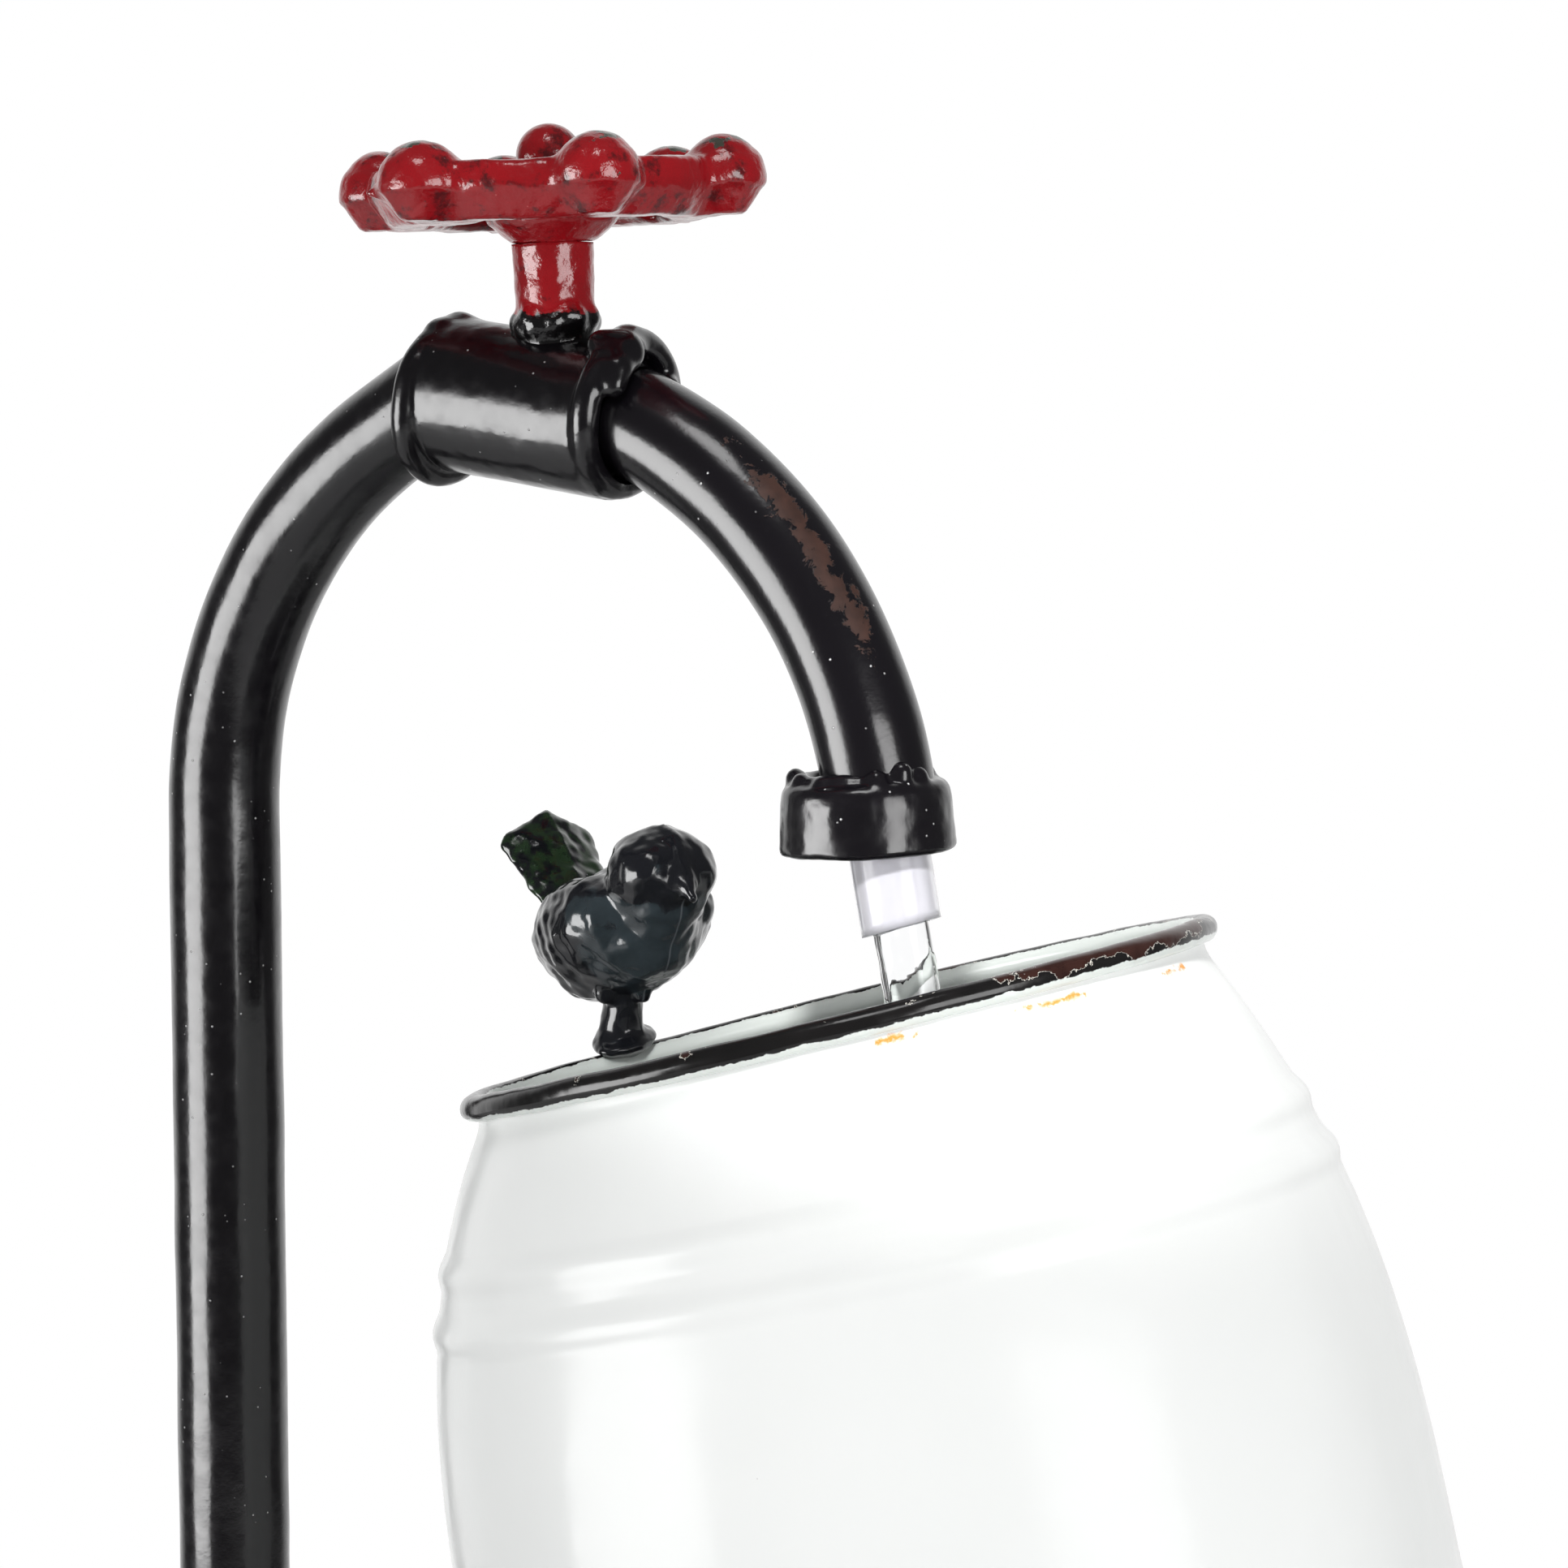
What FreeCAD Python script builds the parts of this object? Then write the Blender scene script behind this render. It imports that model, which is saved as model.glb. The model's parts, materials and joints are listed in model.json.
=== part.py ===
import FreeCAD, Part
import math
import os
import re

import Sketcher

# A small tap-and-barrel water fountain. A pump in the ground tub pushes water up a hose inside the
# bent black pipes; it falls from the spout into a tilted enamelled barrel, and spills back to the tub.
# Millimetres, +Z up, origin on the ground under the tub's centre. The pipes bend in the XZ plane.

V = FreeCAD.Vector
X_AXIS = V(1, 0, 0)
Y_AXIS = V(0, 1, 0)
Z_AXIS = V(0, 0, 1)

SIZES = {
    # one-inch steel tube, bent to one radius
    "pipe_od": 25.4,
    "pipe_wall": 1.5,
    "pipe_x": -130.0,
    "bend_radius": 100.0,
    "stand_foot_z": 88.0,
    "stand_bend_z": 534.0,
    "stand_bend_angle": 59.0,
    "neck_run": 24.0,
    "spout_start_x": -18.9,
    "spout_start_z": 624.2,
    "spout_start_fall": 23.0,
    "spout_bend_angle": 56.2,
    "spout_lead": 4.0,
    "spout_tail": 6.0,
    # the tap body, a sleeve welded across the top of the arch, with a rod ring at each end
    "tap_x": -42.3,
    "tap_z": 625.8,
    "tap_fall": 7.5,
    "tap_od": 33.5,
    "tap_bore": 28.5,
    "tap_span": 46.8,
    "ring_rod": 6.0,
    "ring_radius": 15.6,
    "ring_offset": 2.2,
    # stem and handwheel, heights along the stem from its foot
    "stem_x": -36.9,
    "stem_z": 644.0,
    "stem_lean": 2.5,
    "stem_od": 16.5,
    "spindle_od": 8.0,
    "hub_low": 14.0,
    "hub_high": 32.2,
    "hub_flare": 13.0,
    "wheel_low": 21.3,
    "wheel_mid": 28.7,
    "wheel_high": 34.4,
    "rim_inner": 27.0,
    "rim_flat": 34.7,
    "rim_outer": 39.6,
    "lobe_circle": 36.7,
    "lobe_radius": 8.5,
    "lobe_foot": 3.2,
    "spoke_width": 7.0,
    "spoke_height": 5.0,
    "spoke_start": 9.0,
    "spoke_drop": 1.4,
    "wheel_turn": 20.0,
    "stem_sunk": 8.0,
    "spindle_short": 4.0,
    "washer_gap": 0.1,
    "washer_thickness": 1.2,
    "dome_od": 14.1,
    "dome_high": 42.5,
    # spout cap and water hose
    "cap_x": 40.7,
    "cap_z": 549.8,
    "cap_lean": 3.3,
    "cap_height": 15.0,
    "cap_top_od": 34.6,
    "cap_lip_od": 37.8,
    "cap_wall": 2.6,
    "hose_od": 17.0,
    "hose_bore": 12.0,
    "hose_tip": 30.2,
    "hose_crown_radius": 60.0,
    # the barrel, in its own frame: origin at the centre of the mouth, axis leaning back to the pipe
    "barrel_x": 34.15,
    "barrel_z": 500.2,
    "barrel_lean": 14.2,
    "barrel_length": 265.0,
    "barrel_neck": 75.2,
    "barrel_belly": 103.1,
    "barrel_fullness": 2.86,
    "barrel_wall": 1.2,
    "barrel_chime": 6.0,
    "rim_rod": 5.0,
    "rim_radius": 78.75,
    "hoop_depth": 35.0,
    "hoop_pitch": 12.0,
    "hoop_height": 1.2,
    "hoop_half_width": 5.0,
    # the bird, standing on the rim, heights from its foot, its own X axis forward
    "bird_angle": 160.0,
    "bird_facing": -28.0,
    "body_x": -2.0,
    "body_z": 25.5,
    "body_pitch": 14.0,
    "body_half_length": 25.0,
    "body_half_width": 17.4,
    "body_half_height": 15.2,
    "head_x": 16.0,
    "head_z": 43.5,
    "head_half_length": 11.6,
    "head_half_width": 10.4,
    "head_half_height": 10.2,
    "beak_x": 23.0,
    "beak_z": 42.0,
    "beak_fall": 13.0,
    "beak_root": 5.0,
    "beak_tip": 0.8,
    "beak_length": 10.0,
    "tail_x": -18.0,
    "tail_z": 26.0,
    "tail_rise": 37.0,
    "tail_length": 34.0,
    "tail_width": 19.0,
    "tail_thickness": 5.0,
    "leg_foot": 6.2,
    "leg_top": 3.4,
    "leg_length": 18.0,
    "leg_sunk": 2.0,
    # post and saddle under the barrel
    "saddle_od": 110.0,
    "saddle_thickness": 4.0,
    "saddle_circle": 76.0,
    "bolt_od": 6.0,
    "bolt_hole": 6.6,
    "head_flats": 10.0,
    "head_height": 4.0,
    "nut_height": 5.0,
    "seal_od": 15.0,
    "seal_thickness": 1.5,
    # ground tub
    "tub_height": 200.0,
    "tub_rim_rod": 6.0,
    "tub_rim_radius": 197.0,
    "tub_floor_radius": 176.0,
    "tub_wall": 1.5,
    "foot_height": 12.5,
    "foot_od": 34.0,
    "foot_circle": 280.0,
    # bridge over the pump, which carries the stand pipe
    "bridge_width": 44.0,
    "bridge_half_span": 35.0,
    "bridge_foot": 27.0,
    "bridge_strap": 3.0,
    "pipe_flange_od": 66.0,
    "pipe_flange_circle": 50.0,
    "post_flange_od": 92.0,
    "post_flange_circle": 68.0,
    "flange_thickness": 5.0,
    "flange_collar_od": 33.0,
    "flange_collar": 12.0,
    "small_bolt_od": 5.0,
    "small_bolt_hole": 5.5,
    "small_bolt_flats": 8.0,
    "small_bolt_head": 3.5,
    "small_bolt_length": 14.0,
    "small_nut_height": 4.0,
    "floor_bolt_length": 16.0,
    # rubber bush of the pump lead, in the tub's wall
    "grommet_depth": 24.0,
    "grommet_bore": 8.0,
    "grommet_neck": 12.0,
    "grommet_od": 17.0,
    "grommet_groove": 2.7,
    "grommet_length": 5.2,
    # submersible pump, in its own frame: origin under the outlet, intake towards +X
    "pump_z": 20.0,
    "pump_back": -36.0,
    "pump_front": 8.0,
    "pump_width": 44.0,
    "pump_height": 44.0,
    "outlet_height": 18.0,
    "outlet_bore": 8.0,
    "chamber_radius": 17.0,
    "chamber_depth": 14.0,
    "rotor_well": 9.4,
    "rotor_well_depth": 24.0,
    "rotor_radius": 8.8,
    "rotor_length": 22.6,
    "shaft_radius": 1.5,
    "shaft_length": 42.4,
    "rear_bush_radius": 4.0,
    "rear_bush_length": 3.6,
    "front_bush_radius": 3.2,
    "front_bush_length": 2.4,
    "running_gap": 0.05,
    "blade_thickness": 1.4,
    "blade_height": 7.6,
    "intake_radius": 2.6,
    "intake_offset": 8.4,
    "cover_depth": 20.0,
    "cover_wall": 2.0,
    "slot_length": 12.0,
    "slot_height": 2.6,
    "slot_pitch": 7.0,
    "cover_eye_radius": 3.0,
    "dial_eye_radius": 2.6,
    "eye_offset": 8.5,
    "dial_radius": 14.0,
    "dial_thickness": 2.0,
    "dial_pin_radius": 2.5,
    "dial_snap_radius": 3.4,
    "dial_snap_length": 1.5,
    "grip_width": 3.0,
    "grip_length": 22.0,
    "grip_height": 4.0,
    "gland_z": 34.0,
    "gland_radius": 4.0,
    "suction_foot_od": 15.0,
    "suction_foot_top": 8.0,
    "suction_foot_inset": 8.0,
    "suction_foot_side": 14.0,
    "clamp_band": 1.0,
    "clamp_height": 8.0,
    "clamp_lug_length": 7.0,
    "clamp_lug_width": 6.0,
    "clamp_raise": 6.0,
}

doc = FreeCAD.newDocument("fountain")
sheet = doc.addObject("Spreadsheet::Sheet", "dims")
for line, (alias, size) in enumerate(SIZES.items(), start=1):
    sheet.set(f"A{line}", alias)
    sheet.set(f"B{line}", str(size))
    sheet.setAlias(f"B{line}", alias)
doc.recompute()

sub_parts = {}


# ---------------------------------------------------------------- helpers

def size(alias):
    """The number in one cell of the sheet."""
    return float(sheet.get(alias))


def bound(text):
    """An expression in which each alias names its cell in the sheet."""
    return re.sub(r"[a-z]+(_[a-z]+)*", lambda word: "dims." + word.group(), text)


def at(x=0.0, y=0.0, z=0.0, axis=Z_AXIS, angle=0.0):
    return FreeCAD.Placement(V(x, y, z), FreeCAD.Rotation(axis, angle))


def add(kind, name, place=None, **sizes):
    """A primitive whose sizes are bound to the sheet."""
    obj = doc.addObject(kind, name)
    obj.Placement = place or at()
    for prop, text in sizes.items():
        obj.setExpression(prop, bound(text))
    return obj


def rod(name, radius, height, place=None):
    return add("Part::Cylinder", name, place, Radius=radius, Height=height)


def block(name, length, width, height, place=None):
    return add("Part::Box", name, place, Length=length, Width=width, Height=height)


def ring(name, radius, thickness, place=None):
    return add("Part::Torus", name, place, Radius1=radius, Radius2=thickness)


def cut(name, base, *tools):
    for index, tool in enumerate(tools, start=1):
        result = doc.addObject("Part::Cut", f"{name}_cut_{index}")
        result.Base = base
        result.Tool = tool
        base = result
    return base


def fuse(name, *pieces):
    result = doc.addObject("Part::MultiFuse", name + "_fused")
    result.Shapes = list(pieces)
    return result


def group(name, pieces):
    """Identical pieces kept as separate solids in one sub-part."""
    result = doc.addObject("Part::Compound", name + "_set")
    result.Links = list(pieces)
    return result


def keep(label, obj):
    """Name a finished sub-part."""
    obj.Label = label
    sub_parts[label] = obj
    return obj


def around(count, first_angle, circle, height=0.0):
    """Places evenly spaced on a circle."""
    for index in range(count):
        angle = first_angle + index * 360.0 / count
        turned_x = circle / 2 * math.cos(math.radians(angle))
        turned_y = circle / 2 * math.sin(math.radians(angle))
        yield at(turned_x, turned_y, height, Z_AXIS, angle)


def outline(body, plane, corners):
    """A closed polygon on one of the body's own planes, each corner bound to the sheet."""
    sketch = body.newObject("Sketcher::SketchObject", body.Name + "_outline")
    support = [f for f in body.Origin.OriginFeatures if f.Role == plane][0]
    sketch.AttachmentSupport = [(support, "")]
    sketch.MapMode = "FlatFace"
    count = len(corners)
    loose = [V(10 * math.cos(math.tau * i / count), 10 * math.sin(math.tau * i / count), 0) for i in range(count)]
    for i in range(count):
        sketch.addGeometry(Part.LineSegment(loose[i], loose[(i + 1) % count]))
    for i in range(count):
        sketch.addConstraint(Sketcher.Constraint("Coincident", i, 2, (i + 1) % count, 1))
    for i, (across, up) in enumerate(corners):
        for kind, text, start in (("DistanceX", across, loose[i].x), ("DistanceY", up, loose[i].y)):
            index = sketch.addConstraint(Sketcher.Constraint(kind, i, 1, start))
            sketch.setExpression(f"Constraints[{index}]", bound(text))
    return sketch


def turned(name, corners, place=None):
    """A body turned about its Z axis from corners given as radius and height."""
    body = doc.addObject("PartDesign::Body", name)
    sketch = outline(body, "XZ_Plane", corners)
    turn = body.newObject("PartDesign::Revolution", name + "_turn")
    turn.Profile = sketch
    turn.ReferenceAxis = (sketch, ["V_Axis"])
    turn.Angle = 360.0
    body.Placement = place or at()
    return body


def path(name, start, heading, runs):
    """A chain of straight runs and tangent arcs in the XZ plane. The heading is an angle above +X;
    an arc's angle is positive when it turns downwards."""
    edges = []
    here = start
    angle = math.radians(heading)
    for run in runs:
        along = V(math.cos(angle), 0, math.sin(angle))
        if len(run) == 1:
            there = here + along * run[0]
            edges.append(Part.LineSegment(here, there).toShape())
        else:
            radius, turn = run[0], math.radians(run[1])
            inward = V(along.z, 0, -along.x)
            centre = here + inward * radius

            def on_arc(part):
                swing = turn * part
                return centre - inward * (radius * math.cos(swing)) + along * (radius * math.sin(swing))

            there = on_arc(1.0)
            edges.append(Part.Arc(here, on_arc(0.5), there).toShape())
            angle -= turn
        here = there
    feature = doc.addObject("Part::Feature", name + "_path")
    feature.Shape = Part.Wire(edges)
    return feature


def swept(name, route, radius):
    """A round bar along a path."""
    first = route.Shape.Edges[0]
    along = first.tangentAt(first.FirstParameter)
    section = add("Part::Circle", name + "_section", None, Radius=radius)
    section.Placement = FreeCAD.Placement(first.firstVertex(True).Point, FreeCAD.Rotation(Z_AXIS, along))
    bar = doc.addObject("Part::Sweep", name + "_bar")
    bar.Sections = [section]
    bar.Spine = (route, [f"Edge{i + 1}" for i in range(len(route.Shape.Edges))])
    bar.Solid = True
    bar.Frenet = False
    return bar


def hex_bolt(name, place, bolt, flats, head, length):
    """Head below the origin, shank up from it."""
    top = add("Part::Prism", name + "_head", at(0, 0, 0), Circumradius=f"{flats} / 1.732", Height=head)
    top.Polygon = 6
    top.setExpression("Placement.Base.z", bound(f"-{head}"))
    shank = rod(name + "_shank", f"{bolt} / 2", length)
    whole = fuse(name, top, shank)
    whole.Placement = place
    return whole


def hex_nut(name, place, bolt, flats, height):
    outer = add("Part::Prism", name + "_hex", None, Circumradius=f"{flats} / 1.732", Height=height)
    outer.Polygon = 6
    whole = cut(name, outer, rod(name + "_bore", f"{bolt} / 2", height))
    whole.Placement = place
    return whole


def washer(name, place, outer, bore, thickness):
    whole = cut(name, rod(name + "_disc", f"{outer} / 2", thickness), rod(name + "_bore", f"{bore} / 2", thickness))
    whole.Placement = place
    return whole


# ---------------------------------------------------------------- frames that several parts share

TAP = at(size("tap_x"), 0, size("tap_z"), Y_AXIS, 90 + size("tap_fall"))
STEM = at(size("stem_x"), 0, size("stem_z"), Y_AXIS, -size("stem_lean"))
CAP = at(size("cap_x"), 0, size("cap_z"), Y_AXIS, -size("cap_lean"))
BARREL = at(size("barrel_x"), 0, size("barrel_z"), Y_AXIS, -size("barrel_lean"))
PUMP = at(size("pipe_x"), 0, size("pump_z"))
FLOOR_TOP = size("foot_height") + size("tub_wall")
POST_X = size("barrel_x") + size("barrel_length") * math.sin(math.radians(size("barrel_lean")))


def in_tap(along, side=0.0):
    """A place on the tap body's axis, shifted across it in the plane of the arch."""
    return TAP.multiply(at(-side, 0, along))


# ---------------------------------------------------------------- pipes and tap

def rings():
    half = size("tap_span") / 2
    shift = size("ring_offset")
    inlet = ring("inlet_ring_rod", "ring_radius", "ring_rod / 2", in_tap(-half, -shift))
    outlet = ring("outlet_ring_rod", "ring_radius", "ring_rod / 2", in_tap(half, shift))
    return keep("inlet_ring", inlet), keep("outlet_ring", outlet)


def beyond(name, along, reach):
    """A block past a plane square to the tap's axis, to trim a pipe's end."""
    side = 80.0
    piece = doc.addObject("Part::Box", name)
    piece.Length, piece.Width, piece.Height = side, side, abs(reach)
    piece.Placement = in_tap(min(along, along + reach)).multiply(at(-side / 2, -side / 2, 0))
    return piece


def stand_pipe(inlet_ring):
    rise = size("stand_bend_z") - size("stand_foot_z")
    start = V(size("pipe_x"), 0, size("stand_foot_z"))
    runs = [(rise,), (size("bend_radius"), size("stand_bend_angle")), (size("neck_run"),)]
    route = path("stand_pipe", start, 90.0, runs)
    outer = swept("stand_pipe_outer", route, "pipe_od / 2")
    inner = swept("stand_pipe_inner", route, "pipe_od / 2 - pipe_wall")
    trim = beyond("stand_pipe_trim", -size("tap_span") / 2, 60.0)
    keep("stand_pipe", cut("stand_pipe", outer, inner, trim, inlet_ring))


def spout_route(name, lead, tail):
    """The spout's bend, with straight leads at both ends."""
    fall = math.radians(size("spout_start_fall"))
    start = V(size("spout_start_x") - lead * math.cos(fall), 0, size("spout_start_z") + lead * math.sin(fall))
    runs = [(lead,), (size("bend_radius"), size("spout_bend_angle")), (tail,)]
    return path(name, start, -size("spout_start_fall"), runs)


def spout_pipe(outlet_ring):
    route = spout_route("spout_pipe", size("spout_lead"), size("spout_tail"))
    outer = swept("spout_pipe_outer", route, "pipe_od / 2 - 0.6")
    inner = swept("spout_pipe_inner", route, "pipe_od / 2 - pipe_wall")
    trim = beyond("spout_pipe_trim", size("tap_span") / 2, -60.0)
    return keep("spout_pipe", cut("spout_pipe", outer, inner, trim, outlet_ring)), outer


def tap_body(inlet_ring, outlet_ring):
    half = size("tap_span") / 2
    sleeve = rod("tap_sleeve", "tap_od / 2", "tap_span", in_tap(-half))
    bore = rod("tap_bore_rod", "tap_bore / 2", "tap_span", in_tap(-half))
    keep("tap_body", cut("tap_body", sleeve, bore, inlet_ring, outlet_ring))
    return sleeve


def wheel_stem(sleeve):
    corners = [
        ("0", "-stem_sunk"),
        ("stem_od / 2", "-stem_sunk"),
        ("stem_od / 2", "hub_low - 0.1"),
        ("spindle_od / 2", "hub_low - 0.1"),
        ("spindle_od / 2", "dome_high - spindle_short"),
        ("0", "dome_high - spindle_short"),
    ]
    keep("wheel_stem", cut("wheel_stem", turned("stem_bar", corners, STEM), sleeve))


def handwheel():
    """Cast wheel: dished hub, six spokes, flat-bottomed rim and six domed lobes."""
    hub = [
        ("spindle_od / 2 + running_gap", "hub_low"),
        ("stem_od / 2", "hub_low"),
        ("hub_flare", "hub_low + 4.6"),
        ("hub_flare", "wheel_mid - 4"),
        ("stem_od / 2", "wheel_mid + 1"),
        ("stem_od / 2", "hub_high"),
        ("spindle_od / 2 + running_gap", "hub_high"),
    ]
    rim = [
        ("rim_inner", "wheel_low"),
        ("rim_flat", "wheel_low"),
        ("rim_outer", "wheel_mid"),
        ("rim_outer - 1.6", "wheel_high - 1.6"),
        ("rim_outer - 4", "wheel_high"),
        ("rim_inner + 3.4", "wheel_high"),
        ("rim_inner + 1", "wheel_high - 2.4"),
    ]
    pieces = [turned("wheel_hub", hub), turned("wheel_rim", rim)]
    for index, place in enumerate(around(6, size("wheel_turn"), 2 * size("lobe_circle"))):
        pieces.append(lobe(f"lobe_{index}", place))
        pieces.append(spoke(f"spoke_{index}", place.Rotation))
    whole = fuse("handwheel", *pieces)
    whole.Placement = STEM
    keep("handwheel", whole)


def lobe(name, place):
    low, mid = size("wheel_low"), size("wheel_mid")
    skirt = add("Part::Cone", name + "_skirt", at(0, 0, low), Radius1="lobe_foot", Radius2="lobe_radius")
    skirt.Height = mid - low
    dome = add("Part::Sphere", name + "_dome", at(0, 0, mid + 0.8), Radius="lobe_radius")
    whole = fuse(name, skirt, dome)
    whole.Placement = place
    return whole


def spoke(name, turn):
    piece = block(name, "rim_inner + 2 - spoke_start", "spoke_width", "spoke_height")
    start = turn.multVec(V(size("spoke_start"), -size("spoke_width") / 2, size("wheel_low") - size("spoke_drop")))
    piece.Placement = FreeCAD.Placement(start, turn)
    return piece


def wheel_nut():
    """Domed nut over the end of the spindle, on its washer."""
    low = size("hub_high") + size("washer_gap")
    washer_place = STEM.multiply(at(0, 0, low))
    keep("wheel_washer", washer("wheel_washer", washer_place, "dome_od + 1", "spindle_od", "washer_thickness"))
    base = low + size("washer_thickness")
    straight = rod("dome_skirt", "dome_od / 2", "2.1", at(0, 0, base))
    dome = add("Part::Sphere", "dome_cap", at(0, 0, base + 2.0), Radius="dome_od / 2")
    under = block("dome_under", "40", "40", "20", at(-20, -20, base - 20))
    spindle = rod("dome_spindle", "spindle_od / 2", "dome_high - spindle_short - 20", at(0, 0, 20))
    whole = cut("wheel_nut", fuse("dome", straight, dome), under, spindle)
    whole.Placement = STEM
    keep("wheel_nut", whole)


def spout_cap(pipe_bar):
    """Cup-shaped pipe cap with a rolled lip, open below, let onto the end of the spout."""
    corners = [
        ("0", "0"),
        ("cap_top_od / 2 - 1.6", "0"),
        ("cap_top_od / 2", "-1.6"),
        ("cap_top_od / 2", "-5"),
        ("cap_lip_od / 2 - 0.7", "-6.4"),
        ("cap_lip_od / 2 - 0.7", "-12.6"),
        ("cap_lip_od / 2", "-13.2"),
        ("cap_lip_od / 2", "-cap_height"),
        ("cap_top_od / 2 - cap_wall", "-cap_height"),
        ("cap_top_od / 2 - cap_wall", "-3"),
        ("0", "-3"),
    ]
    keep("spout_cap", cut("spout_cap", turned("cap_cup", corners, CAP), pipe_bar))


def water_hose():
    """One clear hose from the pump's outlet, inside both pipes, to its cut end below the cap."""
    start_z = size("pump_z") + size("pump_height") + 1.0
    neck = math.radians(90 - size("stand_bend_angle"))
    fall = math.radians(size("spout_start_fall"))
    bend_end = V(
        size("pipe_x") + size("bend_radius") * (1 - math.cos(math.radians(size("stand_bend_angle")))),
        0,
        size("stand_bend_z") + size("bend_radius") * math.sin(math.radians(size("stand_bend_angle"))),
    )
    across = size("spout_start_x") - bend_end.x
    up = size("spout_start_z") - bend_end.z
    crown = neck + fall
    # the rising and the falling line meet over the tap, where a tangent arc joins them
    rising = (across * math.sin(fall) + up * math.cos(fall)) / math.sin(crown)
    falling = (across * math.sin(neck) - up * math.cos(neck)) / math.sin(crown)
    tangent = size("hose_crown_radius") * math.tan(crown / 2)
    runs = [
        (size("stand_bend_z") - start_z,),
        (size("bend_radius"), size("stand_bend_angle")),
        (rising - tangent,),
        (size("hose_crown_radius"), math.degrees(crown)),
        (falling - tangent,),
        (size("bend_radius"), size("spout_bend_angle")),
        (size("hose_tip"),),
    ]
    route = path("water_hose", V(size("pipe_x"), 0, start_z), 90.0, runs)
    outer = swept("water_hose_outer", route, "hose_od / 2")
    inner = swept("water_hose_inner", route, "hose_bore / 2")
    keep("water_hose", cut("water_hose", outer, inner))
    print("hose length", round(route.Shape.Length, 1), "tightest radius", size("hose_crown_radius"))


# ---------------------------------------------------------------- barrel and bird

def swell(depth, centre):
    """A hoop's raised bead, as height over the wall."""
    away = abs(depth - centre) / size("hoop_half_width")
    return size("hoop_height") * math.cos(away * math.pi / 2) ** 2 if away < 1 else 0.0


def barrel_radius(depth):
    """Outer radius of the barrel at a depth below its mouth."""
    full = 1 - abs(1 - 2 * depth / size("barrel_length")) ** size("barrel_fullness")
    radius = size("barrel_neck") + (size("barrel_belly") - size("barrel_neck")) * full
    for end in (0.0, size("barrel_length")):
        radius += 2.3 * math.exp(-((depth - end) / 3.5) ** 2)
    return radius + sum(swell(depth, hoop) for hoop in hoops(size("barrel_length")))


def hoops(length):
    """Depths of the four hoops, two near each end."""
    upper = [size("hoop_depth"), size("hoop_depth") + size("hoop_pitch")]
    return upper + [length - depth for depth in upper]


def tub_radius(depth):
    """Outer radius of the tub's wall at a depth below its rim."""
    length = size("tub_height") - size("tub_rim_rod") / 2 - FLOOR_TOP
    slope = (size("tub_rim_radius") - 2.2 - size("tub_floor_radius")) / length
    return size("tub_rim_radius") - 2.2 - slope * depth + sum(swell(depth, hoop) for hoop in hoops(length))


def thin_wall(name, radius_at, length, wall, place):
    """A sheet wall turned about Z from a radius formula, with points close together on the hoops."""
    step = size("hoop_half_width") / 2
    depths = [length * i / 16 for i in range(17)]
    depths = [depth for depth in depths if all(abs(depth - hoop) > 3 * step for hoop in hoops(length))]
    depths += [hoop + step * i for hoop in hoops(length) for i in range(-2, 3)]
    depths += [2.0, 5.0, length - 5.0, length - 2.0]
    outer = [V(radius_at(depth), 0, -depth) for depth in sorted(depths)]
    inner = [point - V(wall, 0, 0) for point in reversed(outer)]
    edges = []
    for points in (outer, inner):
        curve = Part.BSplineCurve()
        curve.interpolate(points)
        edges.append(curve.toShape())
    bottom = Part.LineSegment(outer[-1], inner[0]).toShape()
    top = Part.LineSegment(inner[-1], outer[0]).toShape()
    face = Part.Face(Part.Wire([edges[0], bottom, edges[1], top]))
    feature = doc.addObject("Part::Feature", name + "_wall")
    feature.Shape = face.revolve(V(0, 0, 0), Z_AXIS, 360.0)
    feature.Placement = place
    return feature


def barrel():
    length = size("barrel_length")
    low_end = BARREL.multiply(at(0, 0, -length))
    rim = keep("barrel_rim", ring("barrel_rim_rod", "rim_radius", "rim_rod / 2", BARREL))
    foot = keep("barrel_foot_rim", ring("barrel_foot_rod", "rim_radius", "rim_rod / 2", low_end))
    wall = thin_wall("barrel", barrel_radius, length, size("barrel_wall"), BARREL)
    keep("barrel_shell", cut("barrel_shell", wall, rim, foot))
    return rim


def barrel_bottom():
    """The seamed end disc, let into the wall above the chime, with four bolt holes."""
    low = size("barrel_length") - size("barrel_chime")
    disc = doc.addObject("Part::Cylinder", "bottom_disc")
    disc.Radius = barrel_radius(low) - size("barrel_wall") / 2
    disc.setExpression("Height", bound("barrel_wall"))
    disc.Placement = at(0, 0, -low)
    holes = [rod(f"bottom_hole_{i}", "bolt_hole / 2", "10", place)
             for i, place in enumerate(around(4, 45, size("saddle_circle"), -low - 5))]
    whole = cut("barrel_disc", disc, *holes)
    whole.Placement = BARREL
    keep("barrel_bottom", cut("barrel_bottom", whole, sub_parts["barrel_shell"]))


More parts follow.
